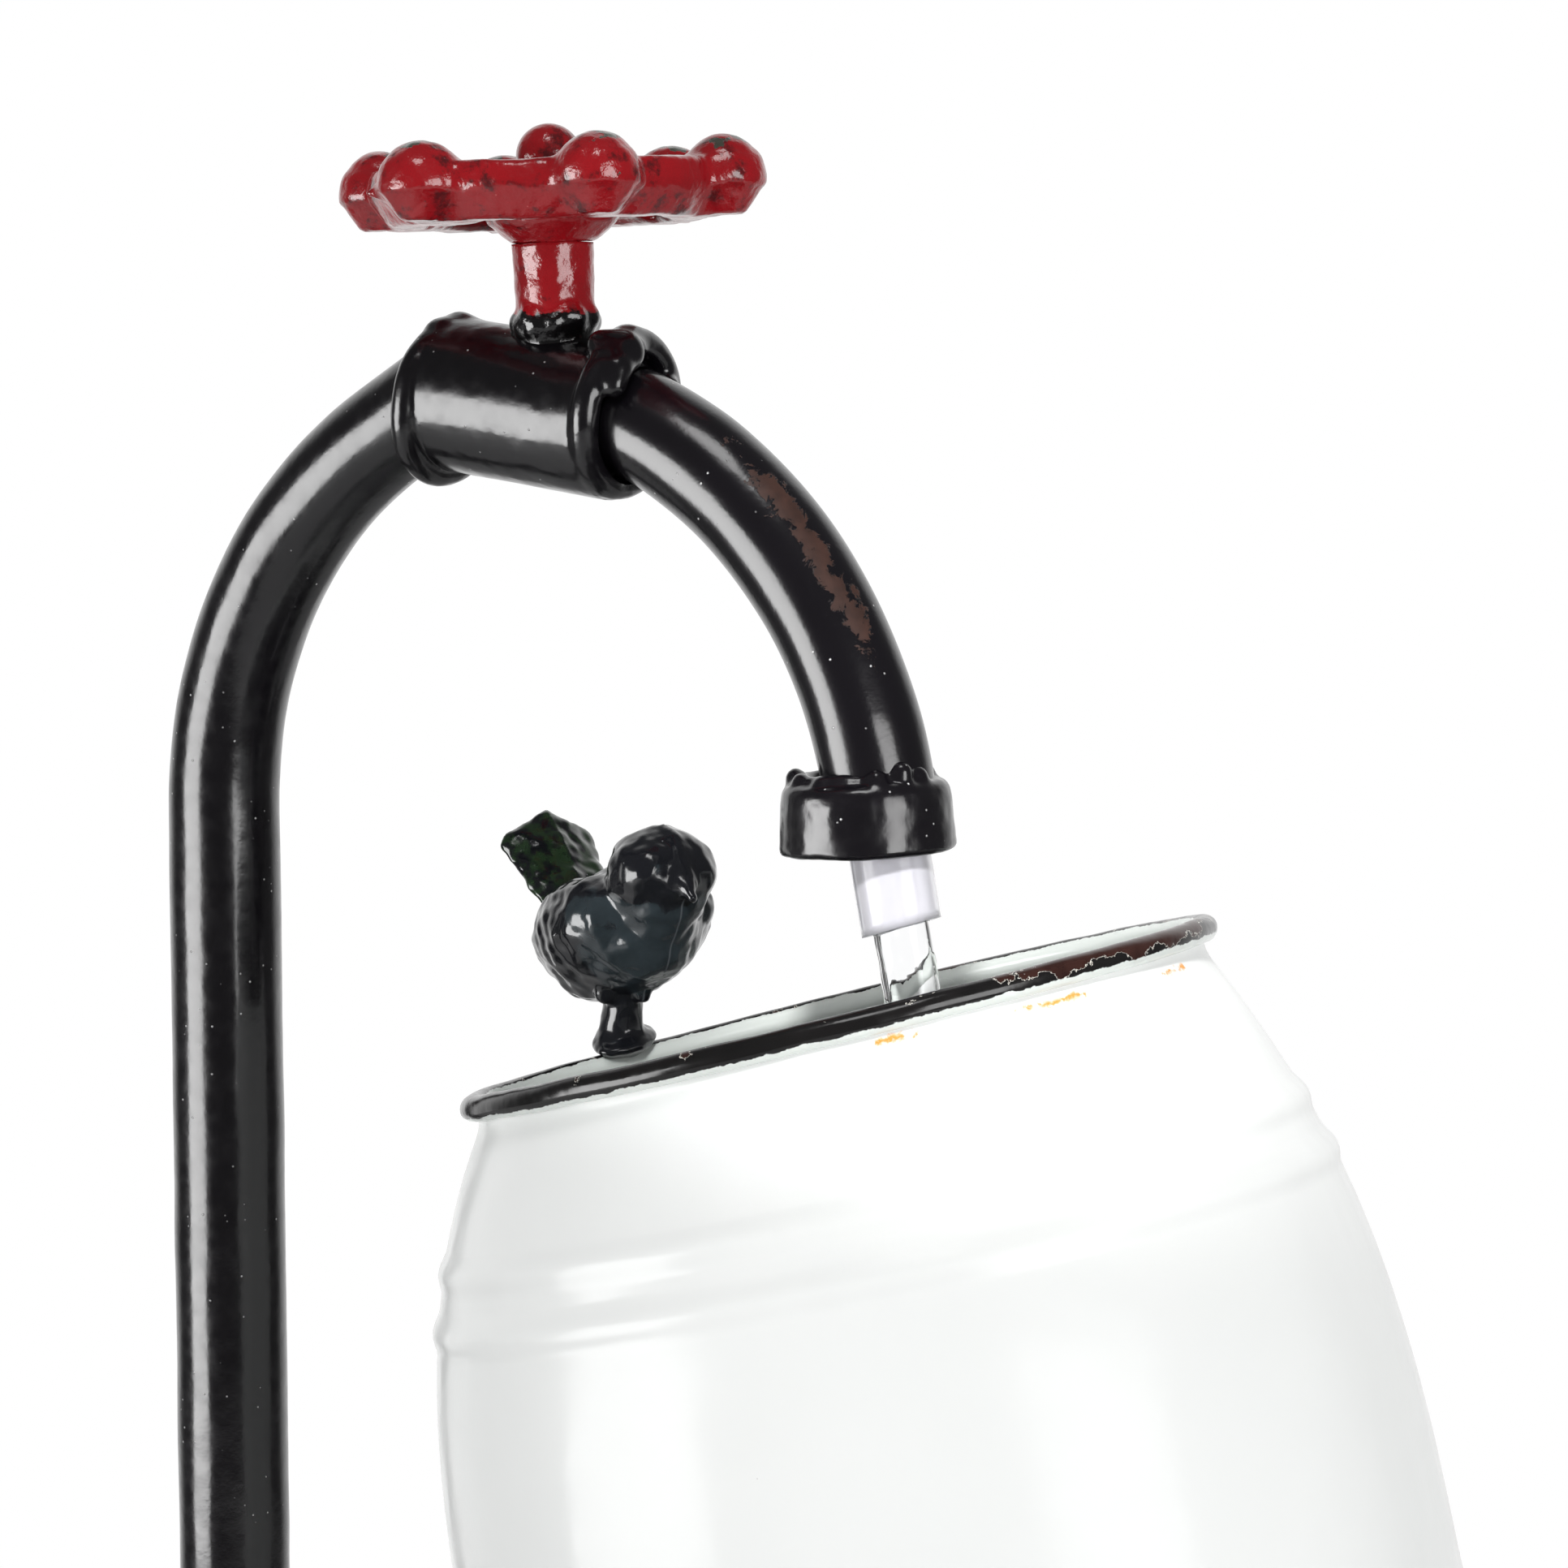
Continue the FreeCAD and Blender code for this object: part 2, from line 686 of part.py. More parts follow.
def bird(rim):
    """Cast bird in one piece, welded on the rim: body, head, beak, tail and a short leg."""
    spread = math.radians(size("bird_angle"))
    radius = size("rim_radius")
    foot = BARREL.multVec(V(radius * math.cos(spread), radius * math.sin(spread), 0))
    body_place = at(size("body_x"), 0, size("body_z"), Y_AXIS, -size("body_pitch"))
    body = add("Part::Ellipsoid", "bird_body", body_place,
               Radius1="body_half_height", Radius2="body_half_length", Radius3="body_half_width")
    head = add("Part::Ellipsoid", "bird_head", at(size("head_x"), 0, size("head_z")),
               Radius1="head_half_height", Radius2="head_half_length", Radius3="head_half_width")
    beak_place = at(size("beak_x"), 0, size("beak_z"), Y_AXIS, 90 + size("beak_fall"))
    beak = add("Part::Cone", "bird_beak", beak_place, Radius1="beak_root", Radius2="beak_tip", Height="beak_length")
    tail_root = at(size("tail_x"), 0, size("tail_z"), Y_AXIS, 180 + size("tail_rise"))
    tail = block("bird_tail", "tail_length", "tail_width", "tail_thickness",
                 tail_root.multiply(at(0, -size("tail_width") / 2, -size("tail_thickness") / 2)))
    leg = add("Part::Cone", "bird_leg", at(0, 0, -size("leg_sunk")),
              Radius1="leg_foot", Radius2="leg_top", Height="leg_length")
    whole = fuse("bird", body, head, beak, tail, leg)
    whole.Placement = at(foot.x, foot.y, foot.z, Z_AXIS, size("bird_facing"))
    keep("bird", cut("bird_on_rim", whole, rim, sub_parts["barrel_shell"]))


def saddle():
    """Tilted plate under the barrel, its four bolts, seals and nuts, and the post that carries it."""
    top = size("barrel_length") - size("barrel_chime")
    plate = rod("saddle_plate", "saddle_od / 2", "saddle_thickness", at(0, 0, -top - size("saddle_thickness")))
    holes = [rod(f"saddle_hole_{i}", "bolt_hole / 2", "saddle_thickness + 2", place)
             for i, place in enumerate(around(4, 45, size("saddle_circle"), -top - size("saddle_thickness") - 1))]
    whole = cut("barrel_saddle", plate, *holes)
    whole.Placement = BARREL
    keep("barrel_saddle", whole)

    inside = -top + size("barrel_wall")
    flip = at(0, 0, 0, X_AXIS, 180)
    seals, bolts, nuts = [], [], []
    for i, place in enumerate(around(4, 45, size("saddle_circle"))):
        spot = BARREL.multiply(place)
        seal = spot.multiply(at(0, 0, inside))
        seals.append(washer(f"barrel_seal_{i}", seal, "seal_od", "bolt_od", "seal_thickness"))
        head = spot.multiply(at(0, 0, inside + size("seal_thickness"))).multiply(flip)
        bolts.append(hex_bolt(f"barrel_bolt_{i}", head, "bolt_od", "head_flats", "head_height", "floor_bolt_length"))
        under = spot.multiply(at(0, 0, -top - size("saddle_thickness") - size("nut_height")))
        nuts.append(hex_nut(f"barrel_nut_{i}", under, "bolt_od", "head_flats", "nut_height"))
    keep("barrel_seals", group("barrel_seals", seals))
    keep("barrel_bolts", group("barrel_bolts", bolts))
    keep("barrel_nuts", group("barrel_nuts", nuts))


def barrel_post():
    """Upright tube from its floor flange, its top trimmed to the saddle's slope."""
    base = FLOOR_TOP + 1.0
    reach = "260"
    tube = rod("post_tube", "pipe_od / 2", reach, at(POST_X, 0, base))
    bore = rod("post_bore", "pipe_od / 2 - pipe_wall", reach, at(POST_X, 0, base))
    side = 160.0
    under = size("barrel_length") - size("barrel_chime") + size("saddle_thickness")
    above = doc.addObject("Part::Box", "post_trim")
    above.Length, above.Width, above.Height = side, side, side
    above.Placement = BARREL.multiply(at(-side / 2, -side / 2, -under))
    keep("barrel_post", cut("barrel_post", tube, bore, above))


def flange(name, x, low, outer, circle, bolt_hole):
    """Round floor flange: a disc with four holes on a circle and a collar round the tube."""
    collar = ("pipe_od / 2", "flange_collar_od / 2", "flange_thickness + flange_collar")
    corners = [
        (collar[0], "0"),
        (f"{outer} / 2", "0"),
        (f"{outer} / 2", "flange_thickness"),
        (collar[1], "flange_thickness"),
        (collar[1], collar[2]),
        (collar[0], collar[2]),
    ]
    disc = turned(name + "_disc", corners)
    holes = [rod(f"{name}_hole_{i}", f"{bolt_hole} / 2", "flange_thickness + 2", place)
             for i, place in enumerate(around(4, 45, size(circle), -1))]
    whole = cut(name, disc, *holes)
    whole.Placement = at(x, 0, low)
    keep(name, whole)


# ---------------------------------------------------------------- tub, bridge and fasteners

def bridge_spots():
    """The four bolts through the bridge's feet."""
    for side in (-1, 1):
        for end in (-1, 1):
            yield size("pipe_x") + end * 13.0, side * (size("bridge_half_span") + size("bridge_foot") / 2)


def post_spots():
    """The four bolts of the post's flange."""
    for place in around(4, 45, size("post_flange_circle")):
        yield POST_X + place.Base.x, place.Base.y


def tub():
    rim_z = size("tub_height") - size("tub_rim_rod") / 2
    rim = keep("tub_rim", ring("tub_rim_rod_ring", "tub_rim_radius", "tub_rim_rod / 2", at(0, 0, rim_z)))
    wall = thin_wall("tub", tub_radius, rim_z - FLOOR_TOP, size("tub_wall"), at(0, 0, rim_z))
    outlet = rod("grommet_hole", "grommet_neck / 2", "40", grommet_place().multiply(at(0, 0, -20)))
    keep("tub_shell", cut("tub_shell", wall, rim, outlet))
    floor = rod("tub_floor_disc", "tub_floor_radius", "tub_wall", at(0, 0, size("foot_height")))
    spots = list(bridge_spots()) + list(post_spots())
    holes = [rod(f"floor_hole_{i}", "bolt_hole / 2", "10", at(x, y, size("foot_height") - 4))
             for i, (x, y) in enumerate(spots)]
    keep("tub_floor", cut("tub_floor", floor, *holes))
    feet = []
    for i, place in enumerate(around(4, 45, size("foot_circle"))):
        foot = add("Part::Cone", f"tub_foot_{i}", place, Radius1="foot_od / 2 - 1.5", Radius2="foot_od / 2")
        foot.setExpression("Height", bound("foot_height"))
        feet.append(foot)
    keep("tub_feet", group("tub_feet", feet))


def grommet_place():
    """On the tub's wall behind the stand pipe, below the rim, square to the sloping wall."""
    depth = size("grommet_depth")
    rim_z = size("tub_height") - size("tub_rim_rod") / 2
    slope = math.degrees(math.atan((tub_radius(60) - tub_radius(120)) / 60))
    radius = tub_radius(depth) - size("tub_wall") / 2
    return at(-radius, 0, rim_z - depth, Y_AXIS, -90 - slope)


def cable_grommet():
    """Rubber bush round the pump lead's way out through the wall."""
    corners = [
        ("grommet_bore / 2", "-grommet_length / 2"),
        ("grommet_od / 2", "-grommet_length / 2"),
        ("grommet_od / 2", "-grommet_groove / 2"),
        ("grommet_neck / 2", "-grommet_groove / 2"),
        ("grommet_neck / 2", "grommet_groove / 2"),
        ("grommet_od / 2", "grommet_groove / 2"),
        ("grommet_od / 2", "grommet_length / 2"),
        ("grommet_bore / 2", "grommet_length / 2"),
    ]
    keep("cable_grommet", turned("grommet_ring", corners, grommet_place()))


def floor_fasteners():
    """Eight alike bolts up through the tub's floor, each on a rubber seal, nuts inside."""
    seals, bolts, nuts = [], [], []
    under = size("foot_height") - size("seal_thickness")
    stacks = [(x, y, size("bridge_strap")) for x, y in bridge_spots()]
    stacks += [(x, y, size("flange_thickness")) for x, y in post_spots()]
    for i, (x, y, thickness) in enumerate(stacks):
        seals.append(washer(f"floor_seal_{i}", at(x, y, under), "seal_od", "bolt_od", "seal_thickness"))
        bolts.append(hex_bolt(f"floor_bolt_{i}", at(x, y, under), "bolt_od", "head_flats", "head_height",
                              "floor_bolt_length"))
        nut_place = at(x, y, FLOOR_TOP + thickness)
        nuts.append(hex_nut(f"floor_nut_{i}", nut_place, "bolt_od", "head_flats", "nut_height"))
    keep("floor_seals", group("floor_seals", seals))
    keep("floor_bolts", group("floor_bolts", bolts))
    keep("floor_nuts", group("floor_nuts", nuts))


def pump_bridge():
    """Steel strap bent over the pump: two feet on the floor, two legs and a flat top."""
    span, foot, strap = "bridge_half_span", "bridge_foot", "bridge_strap"
    rise = size("stand_foot_z") - FLOOR_TOP
    corners = [
        (f"-{span} - {foot}", "0"),
        (f"-{span} + {strap}", "0"),
        (f"-{span} + {strap}", f"{rise} - {strap}"),
        (f"{span} - {strap}", f"{rise} - {strap}"),
        (f"{span} - {strap}", "0"),
        (f"{span} + {foot}", "0"),
        (f"{span} + {foot}", strap),
        (span, strap),
        (span, str(rise)),
        (f"-{span}", str(rise)),
        (f"-{span}", strap),
        (f"-{span} - {foot}", strap),
    ]
    body = doc.addObject("PartDesign::Body", "bridge_strap_body")
    sketch = outline(body, "YZ_Plane", corners)
    pad = body.newObject("PartDesign::Pad", "bridge_pad")
    pad.Profile = sketch
    pad.setExpression("Length", bound("bridge_width"))
    body.Placement = at(size("pipe_x") - size("bridge_width") / 2, 0, FLOOR_TOP)
    holes = [rod(f"bridge_hole_{i}", "bolt_hole / 2", "8", at(x, y, FLOOR_TOP - 2))
             for i, (x, y) in enumerate(bridge_spots())]
    top = size("stand_foot_z") - 6
    middle = at(size("pipe_x"), 0, top)
    holes.append(rod("bridge_hose_hole", "hose_od / 2 + 1", "10", middle))
    holes += [rod(f"bridge_top_hole_{i}", "small_bolt_hole / 2", "10", middle.multiply(place))
              for i, place in enumerate(around(4, 45, size("pipe_flange_circle")))]
    keep("pump_bridge", cut("pump_bridge", body, *holes))


def pipe_flange_fasteners():
    middle = at(size("pipe_x"), 0, size("stand_foot_z"))
    flip = at(0, 0, 0, X_AXIS, 180)
    bolts, nuts = [], []
    for i, place in enumerate(around(4, 45, size("pipe_flange_circle"))):
        spot = middle.multiply(place)
        head = spot.multiply(at(0, 0, size("flange_thickness"))).multiply(flip)
        bolts.append(hex_bolt(f"flange_bolt_{i}", head, "small_bolt_od", "small_bolt_flats", "small_bolt_head",
                              "small_bolt_length"))
        under = spot.multiply(at(0, 0, -size("bridge_strap") - size("small_nut_height")))
        nuts.append(hex_nut(f"flange_nut_{i}", under, "small_bolt_od", "small_bolt_flats", "small_nut_height"))
    keep("flange_bolts", group("flange_bolts", bolts))
    keep("flange_nuts", group("flange_nuts", nuts))


# ---------------------------------------------------------------- pump

def along_x(x, z=None):
    """A place in the pump whose Z axis points along +X, on the rotor's axis."""
    height = size("pump_height") / 2 if z is None else z
    return PUMP.multiply(at(x, 0, height, Y_AXIS, 90))


def pump_housing():
    back, front = size("pump_back"), size("pump_front")
    half = size("pump_width") / 2
    shell = block("pump_block", "pump_front - pump_back", "pump_width", "pump_height",
                  PUMP.multiply(at(back, -half, 0)))
    spigot_foot = PUMP.multiply(at(0, 0, size("pump_height") - 4))
    spigot = rod("pump_spigot", "hose_bore / 2", "outlet_height + 4", spigot_foot)
    chamber = rod("pump_chamber", "chamber_radius", "chamber_depth", along_x(front - size("chamber_depth")))
    well = rod("pump_well", "rotor_well", "rotor_well_depth", along_x(front - 38))
    socket = rod("pump_socket", "rear_bush_radius", "5", along_x(front - 42))
    outlet = rod("pump_outlet", "outlet_bore / 2", "60", PUMP.multiply(at(0, 0, size("pump_height") / 2 + 10)))
    gland_hole = rod("pump_gland_hole", "gland_radius", "4", along_x(back, size("gland_z")))
    case = fuse("pump_case", shell, spigot)
    keep("pump_housing", cut("pump_housing", case, chamber, well, socket, outlet, gland_hole))


def pump_rotor():
    """Six-bladed impeller on its magnet, turning on a fixed ceramic shaft in two rubber bushes."""
    front = size("pump_front")
    bore = "shaft_radius + running_gap"
    magnet = rod("magnet_bar", "rotor_radius", "rotor_length", along_x(front - 37))
    keep("rotor_magnet", cut("rotor_magnet", magnet, rod("magnet_bore", bore, "30", along_x(front - 40))))
    disc = rod("impeller_disc", "chamber_radius - 1.5", "2", along_x(front - 12.6))
    hub = rod("impeller_hub", "4", "11", along_x(front - 12.6))
    neck = rod("impeller_neck", "5", "2.2", along_x(front - 14.4))
    blades = []
    for i in range(6):
        blade = block(f"impeller_blade_{i}", "chamber_radius - 5", "blade_thickness", "blade_height")
        turn = FreeCAD.Placement(V(0, 0, 0), FreeCAD.Rotation(Z_AXIS, 60.0 * i))
        blade.Placement = along_x(front - 11).multiply(turn).multiply(at(3, -size("blade_thickness") / 2, 0))
        blades.append(blade)
    whole = fuse("impeller_wheel", disc, hub, neck, *blades)
    keep("impeller", cut("impeller", whole, rod("impeller_bore", bore, "30", along_x(front - 20))))
    keep("impeller_shaft", rod("shaft_bar", "shaft_radius", "shaft_length", along_x(front - 41)))
    rear = rod("rear_bush_bar", "rear_bush_radius", "rear_bush_length", along_x(front - 42))
    fore = rod("front_bush_bar", "front_bush_radius", "front_bush_length", along_x(front - 1))
    shaft = sub_parts["impeller_shaft"]
    keep("shaft_bushes", group("shaft_bushes", [cut("rear_bush", rear, shaft), cut("front_bush", fore, shaft)]))


def chamber_cover():
    """Plate over the impeller with three kidney intakes round the front bush."""
    front = size("pump_front")
    half = size("pump_width") / 2
    plate = block("chamber_plate", "2", "pump_width", "pump_height", PUMP.multiply(at(front, -half, 0)))
    boss = rod("chamber_boss", "4.6", "2", along_x(front - 1))
    bush = rod("chamber_bush", "front_bush_radius", "front_bush_length", along_x(front - 1))
    eyes = []
    for i in range(3):
        spot = along_x(front - 2).multiply(FreeCAD.Placement(V(0, 0, 0), FreeCAD.Rotation(Z_AXIS, 120.0 * i)))
        eyes.append(rod(f"chamber_eye_{i}", "intake_radius", "6", spot.multiply(at(size("intake_offset"), 0, 0))))
    keep("chamber_cover", cut("chamber_cover", fuse("chamber_lid", plate, boss), bush, *eyes))


def pump_cover():
    """Slotted strainer cover in front of the impeller chamber."""
    start = size("pump_front") + 2
    half = size("pump_width") / 2
    wall = size("cover_wall")
    outer = block("cover_block", "cover_depth", "pump_width", "pump_height", PUMP.multiply(at(start, -half, 0)))
    inner = block("cover_hollow", "cover_depth - cover_wall", "pump_width - 2 * cover_wall",
                  "pump_height - 2 * cover_wall", PUMP.multiply(at(start, wall - half, wall)))
    slots = []
    for side in (-1, 1):
        for i in range(5):
            spot = PUMP.multiply(at(start + 4, side * half - 4, 6.3 + size("slot_pitch") * i))
            which = "left" if side < 0 else "right"
            slots.append(block(f"cover_slot_{which}_{i}", "slot_length", "8", "slot_height", spot))
    for i in range(4):
        spot = along_x(start + size("cover_depth") - 5).multiply(at(0, 0, 0, Z_AXIS, 90.0 * i))
        slots.append(rod(f"cover_eye_{i}", "cover_eye_radius", "8", spot.multiply(at(size("eye_offset"), 0, 0))))
    pivot = rod("cover_pivot", "dial_pin_radius + running_gap", "8", along_x(start + size("cover_depth") - 5))
    keep("pump_cover", cut("pump_cover", outer, inner, *slots, pivot))


def flow_dial():
    """Turning shutter over the cover's four eyes, snapped through its middle."""
    face = size("pump_front") + 2 + size("cover_depth")
    disc = rod("dial_disc", "dial_radius", "dial_thickness", along_x(face + 0.15))
    pin = rod("dial_pin", "dial_pin_radius", "6", along_x(face - 4))
    head = rod("dial_snap", "dial_snap_radius", "dial_snap_length", along_x(face - size("cover_wall") - 1.8))
    grip_place = along_x(face + size("dial_thickness")).multiply(
        at(-size("grip_width") / 2, -size("grip_length") / 2, 0))
    grip = block("dial_grip", "grip_width", "grip_length", "grip_height", grip_place)
    holes = []
    for i in range(4):
        spot = along_x(face - 1).multiply(at(0, 0, 0, Z_AXIS, 90.0 * i + 45.0))
        holes.append(rod(f"dial_eye_{i}", "dial_eye_radius", "6", spot.multiply(at(size("eye_offset"), 0, 0))))
    keep("flow_dial", cut("flow_dial", fuse("dial", disc, pin, head, grip), *holes))


def pump_trims():
    """Suction feet, cable gland and the band that clamps the hose on the outlet."""
    feet = []
    inset, side = size("suction_foot_inset"), size("suction_foot_side")
    for i, x in enumerate((size("pump_back") + inset, size("pump_front") - inset)):
        for j, y in enumerate((-side, side)):
            spot = PUMP.multiply(at(x, y, FLOOR_TOP - size("pump_z")))
            foot = add("Part::Cone", f"suction_foot_{i}{j}", spot,
                       Radius1="suction_foot_od / 2", Radius2="suction_foot_top / 2")
            foot.Height = size("pump_z") - FLOOR_TOP
            feet.append(foot)
    keep("suction_feet", group("suction_feet", feet))
    corners = [("2.8", "-4"), ("gland_radius", "-4"), ("gland_radius", "0"), ("6", "0"), ("4.4", "8"), ("2.8", "8")]
    back = PUMP.multiply(at(size("pump_back"), 0, size("gland_z"), Y_AXIS, -90))
    keep("cable_gland", turned("gland_sleeve", corners, back))
    low = PUMP.multiply(at(0, 0, size("pump_height") + size("clamp_raise")))
    band = rod("clamp_band_disc", "hose_od / 2 + clamp_band", "clamp_height", low)
    lug_place = low.multiply(at(size("hose_od") / 2, -size("clamp_lug_width") / 2, 0))
    lug = block("clamp_lug", "clamp_lug_length", "clamp_lug_width", "clamp_height", lug_place)
    bore = rod("clamp_bore", "hose_od / 2", "clamp_height", low)
    keep("hose_clamp", cut("hose_clamp", fuse("clamp", band, lug), bore))


# ---------------------------------------------------------------- build, check and write

def build():
    inlet_ring, outlet_ring = rings()
    stand_pipe(inlet_ring)
    pipe, pipe_bar = spout_pipe(outlet_ring)
    wheel_stem(tap_body(inlet_ring, outlet_ring))
    handwheel()
    wheel_nut()
    spout_cap(pipe_bar)
    water_hose()
    bird(barrel())
    barrel_bottom()
    saddle()
    barrel_post()
    flange("post_flange", POST_X, FLOOR_TOP, "post_flange_od", "post_flange_circle", "bolt_hole")
    flange("pipe_flange", size("pipe_x"), size("stand_foot_z"), "pipe_flange_od", "pipe_flange_circle",
           "small_bolt_hole")
    tub()
    cable_grommet()
    floor_fasteners()
    pump_bridge()
    pipe_flange_fasteners()
    pump_housing()
    pump_rotor()
    chamber_cover()
    pump_cover()
    flow_dial()
    pump_trims()


def check():
    failed = [obj.Name for obj in doc.Objects if "Invalid" in obj.State or "Error" in obj.State]
    for label, obj in sub_parts.items():
        shape = obj.Shape
        if shape.isNull() or not shape.isValid() or not shape.Solids:
            failed.append(label)
    if failed:
        raise SystemExit("failed: " + ", ".join(failed))


def write():
    os.makedirs("parts", exist_ok=True)
    for label, obj in sub_parts.items():
        obj.Shape.exportStep(f"parts/{label}.step")
    print(len(sub_parts), "sub-parts written")


build()
doc.recompute()
check()
write()
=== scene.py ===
import json
import math

import bpy
import numpy as np
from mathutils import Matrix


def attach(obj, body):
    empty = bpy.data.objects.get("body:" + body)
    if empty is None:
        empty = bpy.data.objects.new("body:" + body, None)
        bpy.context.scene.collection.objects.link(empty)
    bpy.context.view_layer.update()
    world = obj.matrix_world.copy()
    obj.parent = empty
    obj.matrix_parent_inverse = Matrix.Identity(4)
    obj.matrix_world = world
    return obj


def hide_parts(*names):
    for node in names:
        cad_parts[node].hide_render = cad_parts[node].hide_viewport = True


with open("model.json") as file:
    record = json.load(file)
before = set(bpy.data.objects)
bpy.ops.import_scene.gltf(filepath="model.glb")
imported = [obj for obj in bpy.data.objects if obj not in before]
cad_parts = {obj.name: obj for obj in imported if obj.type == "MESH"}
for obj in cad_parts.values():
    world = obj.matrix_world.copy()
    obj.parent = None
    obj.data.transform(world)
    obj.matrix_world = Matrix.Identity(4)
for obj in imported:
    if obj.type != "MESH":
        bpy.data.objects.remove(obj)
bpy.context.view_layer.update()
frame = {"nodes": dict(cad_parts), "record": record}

import openvdb
from mathutils import Matrix, Vector, noise

# Looks of the tap-and-barrel fountain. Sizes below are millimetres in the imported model's frame;
# meshes are written in metres.
MM = 0.001

PIPE_X = -130.0
PIPE_RADIUS = 12.7
STAND_FOOT_Z = 88.0
STAND_BEND_Z = 534.0
BEND_RADIUS = 100.0
STAND_BEND = 59.0
NECK_RUN = 24.0
SPOUT_START = (-18.9, 624.2)
SPOUT_FALL = 23.0
SPOUT_BEND = 56.2
SPOUT_TAIL = 6.0
TAP_CENTRE = (-42.3, 625.8)
TAP_FALL = 7.5
TAP_RADIUS = 16.75
TAP_HALF = 23.4
RING_RADIUS = 15.6
RING_ROD = 3.0
RING_OFFSET = 2.2
STEM_FOOT = (-36.9, 644.0)
STEM_LEAN = 2.5
CAP_TOP = (40.7, 549.8)
CAP_LEAN = 3.3
HOSE_RADIUS = 8.5
HOSE_BORE = 6.0
HOSE_TIP = 30.2
MOUTH = (34.15, 500.2)
BARREL_LEAN = 14.2
BARREL_LENGTH = 265.0
BARREL_NECK = 75.2
BARREL_BELLY = 103.1
BARREL_FULLNESS = 2.86
BARREL_WALL = 1.2
RIM_RADIUS = 78.75
RIM_ROD = 2.5
HOOPS = (35.0, 47.0)
HOOP_HEIGHT = 1.2
HOOP_HALF_WIDTH = 5.0
BIRD_ANGLE = 160.0
BIRD_FACING = -28.0
TUB_RIM_RADIUS = 197.0
TUB_RIM_Z = 197.0
TUB_RIM_ROD = 3.0
TUB_FLOOR_RADIUS = 176.0
TUB_FLOOR_Z = 14.0
TUB_WALL = 1.5
POOL_LEVEL = 464.0
RIM_SKEW = (0.0314, 0.0175, -0.7)
SKEW_DEPTH = 30.0
TUB_POOL_LEVEL = 118.0


# ---------------------------------------------------------------- frames

def place(x, z, lean=0.0, y=0.0, turn=0.0):
    """A frame at a point of the arch's plane, leaning back towards -X, then turned about its own Z."""
    lean_turn = Matrix.Rotation(math.radians(-lean), 4, "Y") @ Matrix.Rotation(math.radians(turn), 4, "Z")
    return Matrix.Translation(Vector((x, y, z)) * MM) @ lean_turn


TAP = place(TAP_CENTRE[0], TAP_CENTRE[1], -(90 + TAP_FALL))
STEM = place(STEM_FOOT[0], STEM_FOOT[1], STEM_LEAN)
CAP = place(CAP_TOP[0], CAP_TOP[1], CAP_LEAN)
BARREL = place(MOUTH[0], MOUTH[1], BARREL_LEAN)
spread = math.radians(BIRD_ANGLE)
BIRD_FOOT = BARREL @ (Vector((RIM_RADIUS * math.cos(spread), RIM_RADIUS * math.sin(spread), 0)) * MM)
BIRD = Matrix.Translation(BIRD_FOOT) @ Matrix.Rotation(math.radians(BIRD_FACING), 4, "Z")


# ---------------------------------------------------------------- mesh tools

def new_piece(name, points, faces, where, body="stand", slot=None, material=None, replaces=()):
    """A smooth mesh from points in millimetres, placed, given its material and set on its body."""
    mesh = bpy.data.meshes.new(name)
    mesh.from_pydata([tuple(p) for p in np.asarray(points) * MM], [], faces)
    mesh.validate()
    mesh.polygons.foreach_set("use_smooth", [True] * len(mesh.polygons))
    piece = bpy.data.objects.new(name, mesh)
    bpy.context.scene.collection.objects.link(piece)
    piece.matrix_world = where
    if material:
        mesh.materials.append(material)
    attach(piece, body)
    if replaces:
        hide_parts(*replaces)
    return piece


def rings_to_faces(rings, around, closed_ends=False, wrap=False):
    faces = []
    for i in range(rings if wrap else rings - 1):
        below, above = i * around, ((i + 1) % rings) * around
        for j in range(around):
            k = (j + 1) % around
            faces.append((below + j, below + k, above + k, above + j))
    if closed_ends:
        faces.append(tuple(reversed(range(around))))
        faces.append(tuple(range((rings - 1) * around, rings * around)))
    return faces


def lathe(name, outline, where, around=128, wrap=False, wobble=0.0, scale=20.0, **kind):
    """Turns an outline of (radius, height) points about Z. wobble is a soft handmade unevenness."""
    points = []
    for radius, height in outline:
        for j in range(around):
            angle = math.tau * j / around
            spot = Vector((radius * math.cos(angle), radius * math.sin(angle), height))
            if wobble:
                spot += wobble * noise.noise_vector(spot / scale)
            points.append(spot)
    faces = rings_to_faces(len(outline), around, wrap=wrap)
    faces = [tuple(reversed(face)) for face in faces] if not wrap else faces
    return new_piece(name, points, faces, where, **kind)


def route(start, heading, runs, step=2.0):
    """Points, headings and distances along straight runs and tangent arcs in the arch's plane."""
    here, angle, gone = Vector((start[0], 0, start[1])), math.radians(heading), 0.0
    stations = [(here.copy(), angle, 0.0)]
    for run in runs:
        length = run[0] if len(run) == 1 else run[0] * abs(math.radians(run[1]))
        bend = 0.0 if len(run) == 1 else 1.0 / run[0]
        count = max(1, round(length / step))
        for _ in range(count):
            middle = angle - bend * length / count / 2
            here = here + Vector((math.cos(middle), 0, math.sin(middle))) * (length / count)
            angle -= bend * length / count
            gone += length / count
            stations.append((here.copy(), angle, gone))
    return stations


